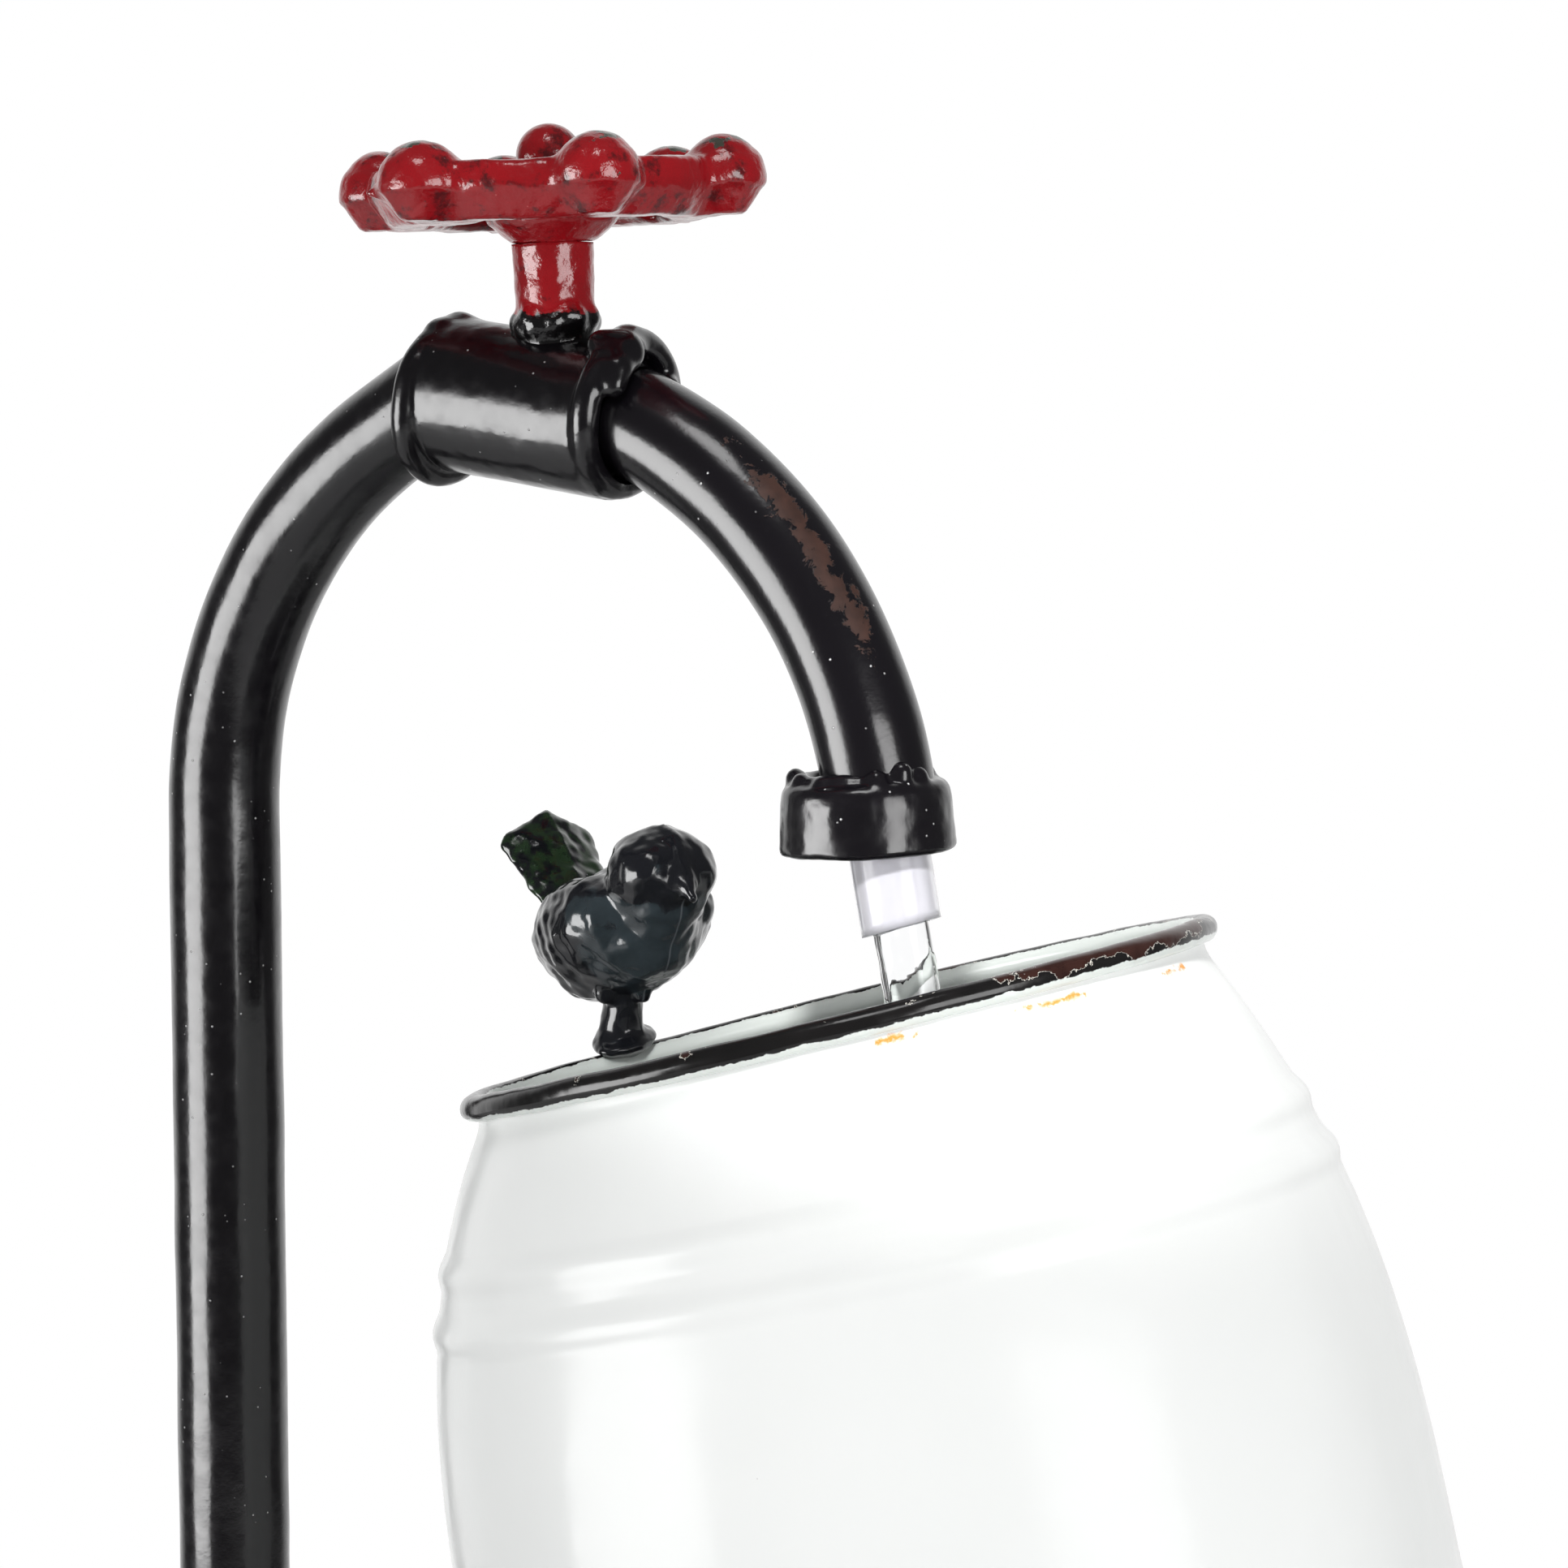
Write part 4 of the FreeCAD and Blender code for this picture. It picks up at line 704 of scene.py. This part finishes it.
STEM_BEADS = ((-150, 0.2, 2.2), (-118, -0.6, 2.0), (-88, -0.4, 2.4), (-55, 0.0, 2.2), (-20, 0.8, 2.3),
              (15, 0.9, 2.0), (50, 0.2, 2.3), (90, -0.5, 2.1), (130, -0.2, 2.3), (170, 0.8, 2.2),
              (-100, 1.6, 1.5), (-35, 2.0, 1.4))
solid("wheel_stem_skin", (-13, -13, -8), (13, 13, 39.5), 0.5, stem_field, STEM, ((0.22, 7.0), (0.14, 2.2)),
      slot="red_wheel_paint", material=STEM_RED, replaces=["wheel_stem"])


def wheel_field(p):
    """A cast wheel: flared hub, six arms, and a rim of two slopes with a domed lobe over each arm."""
    reach = np.sqrt(p[0] ** 2 + p[1] ** 2) + 1e-6
    angle = np.arctan2(p[1], p[0])
    sector = math.tau / LOBES
    turned = np.mod(angle - math.radians(LOBE_TURN) + sector / 2, sector) - sector / 2
    x, y, z = reach * np.cos(turned), reach * np.sin(turned), p[2]
    lobe_reach = np.sqrt((x - LOBE_CENTRE) ** 2 + y ** 2)
    plan = smooth_union(reach - RIM_OUT, lobe_reach - LOBE_RADIUS, 3.0)
    under = (plan + 0.72 * (WHEEL_MID - z)) / 1.23
    over = (plan + 0.22 * (z - WHEEL_MID)) / 1.03
    rim = smooth_common(under, over, 1.6)
    rim = smooth_common(rim, z - RIM_HIGH, 1.8)
    rim = smooth_common(rim, WHEEL_LOW - z, 1.0)
    rim = smooth_common(rim, RIM_IN - reach + 0.25 * (z - WHEEL_MID), 2.5)
    dome = np.sqrt(lobe_reach ** 2 + (z - 29.4) ** 2) - LOBE_RADIUS
    dome = np.maximum(dome, WHEEL_MID - z)
    wheel = smooth_union(rim, dome, 1.8)
    arm = smooth_common(np.abs(y) - 3.8, np.abs(z - 26.4) - 3.6, 2.0)
    arm = np.maximum(arm, np.abs(x - 19) - 15)
    wheel = smooth_union(wheel, arm, 3.4)
    flare = np.interp(z, (HUB_LOW, 18.4, 21.3, 26.0, 33.0), (9.0, 10.6, 13.8, 14.4, 12.6))
    hub = np.maximum(reach - flare, np.abs(z - (HUB_LOW + 32.2) / 2) - (32.2 - HUB_LOW) / 2)
    wheel = smooth_union(wheel, hub, 2.0)
    flash = taper(p, WHEEL_FLASH[0], WHEEL_FLASH[1], 3.0, 0.4)
    wheel = smooth_union(wheel, flash, 2.0)
    return np.maximum(wheel, 4.15 - reach)


WHEEL_FLASH = ((-11.0, -39.0, 28.2), (-17.2, -42.4, 27.8))
solid("handwheel_skin", (-47, -47, 13.0), (47, 47, 40), 0.6, wheel_field, STEM, ((0.5, 11.0), (0.17, 3.5), (0.07, 1.6)),
      body="wheel", slot="red_wheel_paint", material=RED, replaces=["handwheel"])


# ---------------------------------------------------------------- spout cap

CAP_LIP = 18.9
CAP_HEIGHT = 15.0


def cap_field(p):
    """The turned cap, open below, with its welded collar round the pipe."""
    reach = np.sqrt(p[0] ** 2 + p[1] ** 2)
    z = p[2]
    outer = np.interp(-z, (0.0, 4.0, 9.0, 12.5, 15.0), (17.2, 17.9, 18.1, 18.3, 18.9))
    body = smooth_common(reach - outer, np.abs(z + CAP_HEIGHT / 2) - CAP_HEIGHT / 2, 2.4)
    cavity = smooth_common(reach - (outer - 2.6), z + 2.6, 2.0)
    body = np.maximum(body, -np.maximum(cavity, -z - CAP_HEIGHT - 5))
    body = np.maximum(body, 12.2 - np.sqrt((p[0] + 0.6) ** 2 + p[1] ** 2))
    collar = bead(13.0, 1.5, 0.4, 4.0, 0.6, 0.3)((p[0] + 0.8, p[1], z))
    body = smooth_union(body, collar, 1.4)
    for centre, radius in CAP_BLOBS:
        body = smooth_union(body, ball(p, centre, radius), 2.2)
    return body


CAP_BLOBS = (((-13.6, -6.0, 1.4), 1.5), ((-9.0, -11.0, 0.9), 1.3), ((9.0, -10.4, 1.2), 1.9),
             ((12.4, -6.0, 2.2), 2.3), ((13.6, -1.5, 1.2), 2.0), ((-2.0, -13.6, 0.5), 1.2), ((9.0, 10.0, 1.0), 1.6))
solid("spout_cap_skin", (-21, -21, -16), (21, 21, 7), 0.5, cap_field, CAP, ((0.25, 8.0), (0.08, 2.5)),
      slot="black_pipe_paint", material=BLACK, replaces=["spout_cap"])


# ---------------------------------------------------------------- hose and water

ARC_END = BEND_RADIUS * math.radians(SPOUT_BEND)
hose_path = route(SPOUT_START, -SPOUT_FALL, [(4.0,), (BEND_RADIUS, SPOUT_BEND), (HOSE_TIP,)], 2.0)
hose_low = route((PIPE_X, 65.0), 90, [(STAND_BEND_Z - 65.0,), (BEND_RADIUS, STAND_BEND), (10.0,)], 4.0)
joint_a, angle_a, gone_a = hose_low[-1]
joint_b = hose_path[0][0]
link = []
for i in range(1, 12):
    t = i / 12
    lead = joint_a.lerp(joint_b, t)
    link.append((lead, angle_a + (math.radians(-SPOUT_FALL) - angle_a) * t, gone_a + (joint_b - joint_a).length * t))
gone_b = gone_a + (joint_b - joint_a).length
hose_path = hose_low + link + [(spot, angle, gone + gone_b) for spot, angle, gone in hose_path]
hose = tube("hose_skin", hose_path, even(HOSE_RADIUS), around=48, hollow=HOSE_RADIUS - HOSE_BORE,
            wobble=0.08, scale=9.0, slot="clear_hose", material=HOSE, replaces=["water_hose"])
tip, tip_angle, _ = hose_path[-1]
slant = Vector((math.cos(tip_angle), 0, math.sin(tip_angle)))
for vertex in hose.data.vertices:
    here = vertex.co / MM
    if (here - tip).length < 10:
        vertex.co += slant * (here.x - tip.x) * -0.13 * MM


def falling_water():
    """The stream from the hose's end down into the barrel, slightly narrower and swaying as it falls."""
    speed = math.radians(4.0)
    stations, x, z = [], tip.x - 1.5 * slant.x, tip.z - 1.5 * slant.z
    angle = tip_angle
    for i in range(50):
        stations.append((Vector((x, 0, z)), angle, i * 1.2))
        x += 1.2 * math.cos(angle)
        z += 1.2 * math.sin(angle)
        angle -= speed / 50
    return tube("water_stream", stations, between([(0, 6.0, 6.0), (4, 6.1, 6.1), (30, 5.7, 5.7), (58, 6.4, 6.4)]),
                around=48, wobble=0.3, scale=7.0, slot="water", material=WATER)


falling_water()


# ---------------------------------------------------------------- barrel

def barrel_radius(depth):
    swell = 1 - abs(1 - 2 * depth / BARREL_LENGTH) ** BARREL_FULLNESS
    radius = BARREL_NECK + (BARREL_BELLY - BARREL_NECK) * swell
    radius += 2.3 * (math.exp(-(depth / 3.5) ** 2) + math.exp(-((BARREL_LENGTH - depth) / 3.5) ** 2))
    for hoop in (*HOOPS, *(BARREL_LENGTH - hoop for hoop in HOOPS)):
        if abs(depth - hoop) < HOOP_HALF_WIDTH:
            radius += HOOP_HEIGHT * math.cos(math.pi / 2 * (depth - hoop) / HOOP_HALF_WIDTH) ** 2
    return radius


def spread_depths(length, step, *fine):
    """Depths along a wall, closer together near its ends and its hoops."""
    depths, depth = [], 0.0
    while depth < length:
        depths.append(depth)
        near = min(abs(depth - place) for place in fine)
        depth += 0.5 if near < 7 else step
    return depths + [length]


depths = spread_depths(BARREL_LENGTH, 4.0, 0.0, BARREL_LENGTH, *HOOPS, *(BARREL_LENGTH - hoop for hoop in HOOPS))
outside = [(barrel_radius(depth), -depth) for depth in depths]
inside = [(barrel_radius(depth) - BARREL_WALL, -depth) for depth in reversed(depths)]
shell = lathe("barrel_shell_skin", outside + inside, BARREL, 256, wrap=True, wobble=0.22, scale=45.0,
              slot="white_enamel", material=BARREL_WHITE, replaces=["barrel_shell"])


def skew_mouth(piece):
    """The mouth is not quite square to the barrel: its far right side stands a little higher."""
    for vertex in piece.data.vertices:
        x, y, z = vertex.co / MM
        share = max(0.0, 1.0 - abs(z) / SKEW_DEPTH) ** 1.5
        vertex.co.z += (RIM_SKEW[0] * x + RIM_SKEW[1] * y + RIM_SKEW[2]) * share * MM


skew_mouth(shell)


def torus(name, radius, rod, height, where, ratio=1.0, **kind):
    outline = [(radius + rod * ratio * math.cos(math.tau * i / 24), height + rod * math.sin(math.tau * i / 24))
               for i in range(24)]
    return lathe(name, outline, where, 320, wrap=True, wobble=0.22, scale=12.0, **kind)


skew_mouth(torus("barrel_rim_skin", RIM_RADIUS, RIM_ROD + 0.2, 0.0, BARREL, slot="black_enamel",
                 material=MOUTH_BLACK, replaces=["barrel_rim"]))
torus("barrel_foot_rim_skin", RIM_RADIUS, RIM_ROD, -BARREL_LENGTH, BARREL, slot="black_enamel", material=RIM_BLACK,
      replaces=["barrel_foot_rim"])


def barrel_water():
    """The level water in the tilted barrel, out to its wall all round."""
    to_barrel = BARREL.inverted()
    centre = Vector((24.0, 0.0, POOL_LEVEL))
    rings, around = 30, 128
    reach = []
    for j in range(around):
        angle = math.tau * j / around
        near, far = 0.0, 140.0
        for _ in range(24):
            middle = (near + far) / 2
            spot = centre + Vector((math.cos(angle), math.sin(angle), 0)) * middle
            local = (to_barrel @ (spot * MM)) / MM
            inner = barrel_radius(max(0.0, -local.z)) - BARREL_WALL
            if math.hypot(local.x, local.y) < inner - 0.1:
                near = middle
            else:
                far = middle
        reach.append(near)
    points = [centre.copy()]
    for i in range(1, rings + 1):
        for j in range(around):
            angle = math.tau * j / around
            share = i / rings
            spot = centre + Vector((math.cos(angle), math.sin(angle), 0)) * (reach[j] * share)
            from_stream = math.hypot(spot.x - 52.0, spot.y)
            ripple = 0.7 * math.sin(from_stream / 2.4) * math.exp(-from_stream / 16.0)
            spot.z += ripple * (1 - share ** 4) - 0.3 * share ** 6 * 0
            points.append(spot)
    faces = [(0, 1 + j, 1 + (j + 1) % around) for j in range(around)]
    for i in range(rings - 1):
        for j in range(around):
            k = (j + 1) % around
            low, high = 1 + i * around, 1 + (i + 1) * around
            faces.append((low + j, high + j, high + k, low + k))
    return new_piece("barrel_water", points, faces, Matrix.Identity(4), slot="water", material=WATER)


barrel_water()


# ---------------------------------------------------------------- tub

def tub_radius(depth, length=TUB_RIM_Z - TUB_FLOOR_Z):
    radius = 194.8 - 0.1027 * depth
    for hoop in (*HOOPS, *(length - hoop for hoop in HOOPS)):
        if abs(depth - hoop) < HOOP_HALF_WIDTH:
            radius += HOOP_HEIGHT * math.cos(math.pi / 2 * (depth - hoop) / HOOP_HALF_WIDTH) ** 2
    return radius


TUB = Matrix.Translation(Vector((0, 0, TUB_RIM_Z)) * MM)
torus("tub_rim_skin", TUB_RIM_RADIUS, TUB_RIM_ROD, 0.0, TUB, slot="black_enamel", material=RIM_BLACK,
      replaces=["tub_rim"])
pool_radius = tub_radius(TUB_RIM_Z - TUB_POOL_LEVEL) - TUB_WALL - 0.1
pool = [(0.01, 0.0)] + [(pool_radius * i / 40, 0.25 * math.sin(i * 1.9)) for i in range(1, 40)] + [(pool_radius, 0.0)]
lathe("tub_water", pool, Matrix.Translation(Vector((0, 0, TUB_POOL_LEVEL)) * MM), 160, slot="water", material=WATER)


# ---------------------------------------------------------------- bird

def feathers(p):
    """Faint diagonal lumps like cast feathers over the wings and the flanks."""
    along = p[0] * 0.82 - p[2] * 0.57
    across = p[0] * 0.57 + p[2] * 0.82
    rows = np.sin(along * 0.85 + 1.6 * np.sin(across * 0.33)) * np.sin(across * 0.62 + 1.1 * np.sin(along * 0.41))
    flank = np.clip((np.abs(p[1]) - 5.5) / 6.0, 0, 1) * np.clip((12.0 - p[0]) / 8.0, 0, 1)
    return 0.26 * rows * flank * np.clip((p[2] - 9.0) / 6.0, 0, 1) * np.clip((p[0] + 21.0) / 5.0, 0, 1)


def tail_field(p):
    """Flat tail of two slopes that meet in a ridge, wider at its pointed tip."""
    rise = math.radians(43.0)
    x, z = p[0] + 17.0, p[2] - 27.5
    along = -x * math.cos(rise) + z * math.sin(rise)
    above = x * math.sin(rise) + z * math.cos(rise)
    width = 7.6 + 0.18 * along
    roof = (above + 0.38 * np.abs(p[1]) - 2.6) * 0.93
    under = (-above - 0.30 * np.abs(p[1]) - 1.6) * 0.95
    slab = smooth_common(roof, under, 1.2)
    slab = smooth_common(slab, np.abs(p[1]) - width, 3.0)
    tip_end = (along - (32.5 - 0.30 * np.abs(p[1]))) * 0.95
    slab = smooth_common(slab, tip_end, 4.2)
    return np.maximum(slab, -along - 2)


BIRD_DRIPS = (((2.5, -6.5, 13.2), 1.9), ((6.5, 0.5, 13.4), 1.7))


def bird_field(p):
    mirrored = (p[0], np.abs(p[1]), p[2])
    body = egg(p, (-2.5, 0, 25.4), (23.0, 15.2, 14.2), 24)
    wing = egg(mirrored, (-3.5, 9.5, 28.0), (19.5, 8.8, 10.6), 20, 6)
    body = smooth_union(body, wing, 3.0)
    breast = egg(p, (8.0, 0, 30.0), (12.0, 12.0, 14.0), 36)
    body = smooth_union(body, breast, 4.0)
    throat = egg(p, (17.5, 0, 36.0), (8.6, 8.4, 8.0))
    body = smooth_union(body, throat, 4.0)
    body = smooth_union(body, tail_field(p), 4.0) - feathers(p)
    head = egg(p, (16.2, 0, 41.2), (11.2, 12.1, 10.8), -8)
    brow = egg(mirrored, (19.5, 5.2, 43.4), (7.4, 6.0, 5.8), -20)
    head = smooth_union(head, brow, 2.0)
    beak = taper(p, (21.5, 0, 43.4), (31.0, 0, 38.2), 4.8, 1.3)
    head = smooth_union(head, beak, 1.8)
    from_middle = np.sqrt((p[0] - 16.2) ** 2 + (p[2] - 41.2) ** 2)
    ridge = np.sqrt(p[1] ** 2 + (from_middle - 10.6) ** 2) - 0.7
    head = smooth_union(head, np.maximum(ridge, np.maximum(39.0 - p[2], 18.0 - p[0])), 1.6)
    eye = ball(mirrored, (22.6, 8.2, 41.8), 1.5)
    head = smooth_union(head, eye, 0.6)
    bird = smooth_union(body, head, 2.0)
    for centre, radius in BIRD_DRIPS:
        bird = smooth_union(bird, ball(p, centre, radius), 2.0)
    leg = taper(p, (0.6, -1.0, 12.0), (0.0, -1.6, 3.0), 4.4, 4.9)
    foot = egg(p, (0.6, -0.8, 2.2), (9.0, 6.4, 2.4), 11, 118)
    leg = smooth_union(leg, foot, 3.0)
    bird = smooth_union(bird, leg, 1.6)
    return bird


solid("bird_skin", (-54, -21, -4.5), (34, 21, 58), 0.5, bird_field, BIRD, ((0.6, 6.0), (0.3, 2.6)),
      slot="bird_paint", material=BIRD_PAINT, replaces=["bird"])


# ---------------------------------------------------------------- the CAD's own meshes

slots = {part["node"]: part["material_slot"] for part in frame["record"]["subparts"]}
for node, piece in frame["nodes"].items():
    piece.data.materials.clear()
    piece.data.materials.append(CAD_LOOKS[slots[node]])


# ---------------------------------------------------------------- floor, lights and camera

VIEW_TURN = 32.0
TARGET = Vector((0.0, 0.0, 0.52))


def floor():
    m = Nodes("floor")
    m.into("Base Color", m.mix(m.noise(0.4, 3.0), (0.60, 0.60, 0.605), (0.66, 0.66, 0.66)))
    m.into("Roughness", m.ramp(m.noise(0.05, 3.0), 0.3, 0.7, 0.65, 0.8))
    bpy.ops.mesh.primitive_cylinder_add(vertices=128, radius=1.1, depth=0.02, location=(0, 0, -0.0101))
    disc = bpy.context.object
    disc.name = "floor"
    disc.data.materials.append(m.material)


def softbox(name, bearing, height, distance, width, tall, radiance, tint=(1, 1, 1)):
    """An area light. bearing is degrees to the right of the camera's side, seen from the object."""
    data = bpy.data.lights.new(name, "AREA")
    data.shape = "RECTANGLE"
    data.size, data.size_y = width, tall
    data.energy = radiance * math.pi * width * tall
    data.color = tint
    light = bpy.data.objects.new(name, data)
    bpy.context.scene.collection.objects.link(light)
    toward = math.radians(VIEW_TURN - 90 + bearing)
    spot = TARGET + Vector((math.cos(toward), math.sin(toward), 0)) * distance + Vector((0, 0, height))
    light.location = spot
    light.rotation_euler = (TARGET - spot).to_track_quat("-Z", "Y").to_euler()
    return light


def studio():
    """White behind the object and nearly dark at the sides and in front."""
    world = bpy.data.worlds.new("studio")
    world.use_nodes = True
    bpy.context.scene.world = world
    tree = world.node_tree
    background = tree.nodes["Background"]
    direction = tree.nodes.new("ShaderNodeTexCoord")
    facing = tree.nodes.new("ShaderNodeVectorMath")
    facing.operation = "DOT_PRODUCT"
    back = math.radians(VIEW_TURN + 90)
    facing.inputs[1].default_value = (math.cos(back), math.sin(back), 0.0)
    tree.links.new(direction.outputs["Generated"], facing.inputs[0])
    shade = tree.nodes.new("ShaderNodeMapRange")
    shade.interpolation_type = "SMOOTHSTEP"
    for socket, value in (("From Min", 0.42), ("From Max", 0.80), ("To Min", 0.10), ("To Max", 1.0)):
        shade.inputs[socket].default_value = value
    tree.links.new(facing.outputs["Value"], shade.inputs["Value"])
    seen = tree.nodes.new("ShaderNodeLightPath")
    strength = tree.nodes.new("ShaderNodeMath")
    strength.operation = "MAXIMUM"
    tree.links.new(shade.outputs["Result"], strength.inputs[0])
    tree.links.new(seen.outputs["Is Camera Ray"], strength.inputs[1])
    background.inputs["Color"].default_value = (1, 1, 1, 1)
    tree.links.new(strength.outputs[0], background.inputs["Strength"])


floor()
studio()
softbox("softbox_left", -68, -0.14, 1.3, 0.84, 0.78, 4.9)
softbox("strip_left", -68, -0.14, 1.31, 0.84, 0.78, 4.8).visible_diffuse = False
softbox("softbox_right", 38, 0.1, 1.5, 0.8, 0.9, 6.2)
softbox("softbox_top", -10, 1.5, 0.6, 0.5, 0.5, 6.0)
softbox("fill_front", 30, 0.1, 1.9, 1.4, 1.4, 0.40).visible_glossy = False
softbox("fill_top", 0, 1.3, 0.75, 1.0, 1.0, 1.9).visible_glossy = False

lamp = bpy.data.lights.new("mouth_light", "SPOT")
lamp.energy = 30.0
lamp.spot_size = math.radians(14.0)
lamp.spot_blend = 0.25
lamp.shadow_soft_size = 0.04
mouth_light = bpy.data.objects.new("mouth_light", lamp)
bpy.context.scene.collection.objects.link(mouth_light)
mouth_light.location = (0.36, -0.62, 0.98)
mouth_light.rotation_euler = (Vector((0.03, 0.09, 0.505)) - mouth_light.location).to_track_quat("-Z", "Y").to_euler()
mouth_light.visible_glossy = False

camera_data = bpy.data.cameras.new("camera")
camera_data.lens = 100.71
camera_data.sensor_width = 36.0
camera_data.clip_end = 20.0
camera = bpy.data.objects.new("camera", camera_data)
bpy.context.scene.collection.objects.link(camera)
camera.location = (0.50623, -0.77677, 0.64991)
camera.rotation_euler = (math.radians(83.646), 0.0, math.radians(VIEW_TURN))
bpy.context.scene.camera = camera
bpy.context.scene.view_settings.view_transform = "Standard"
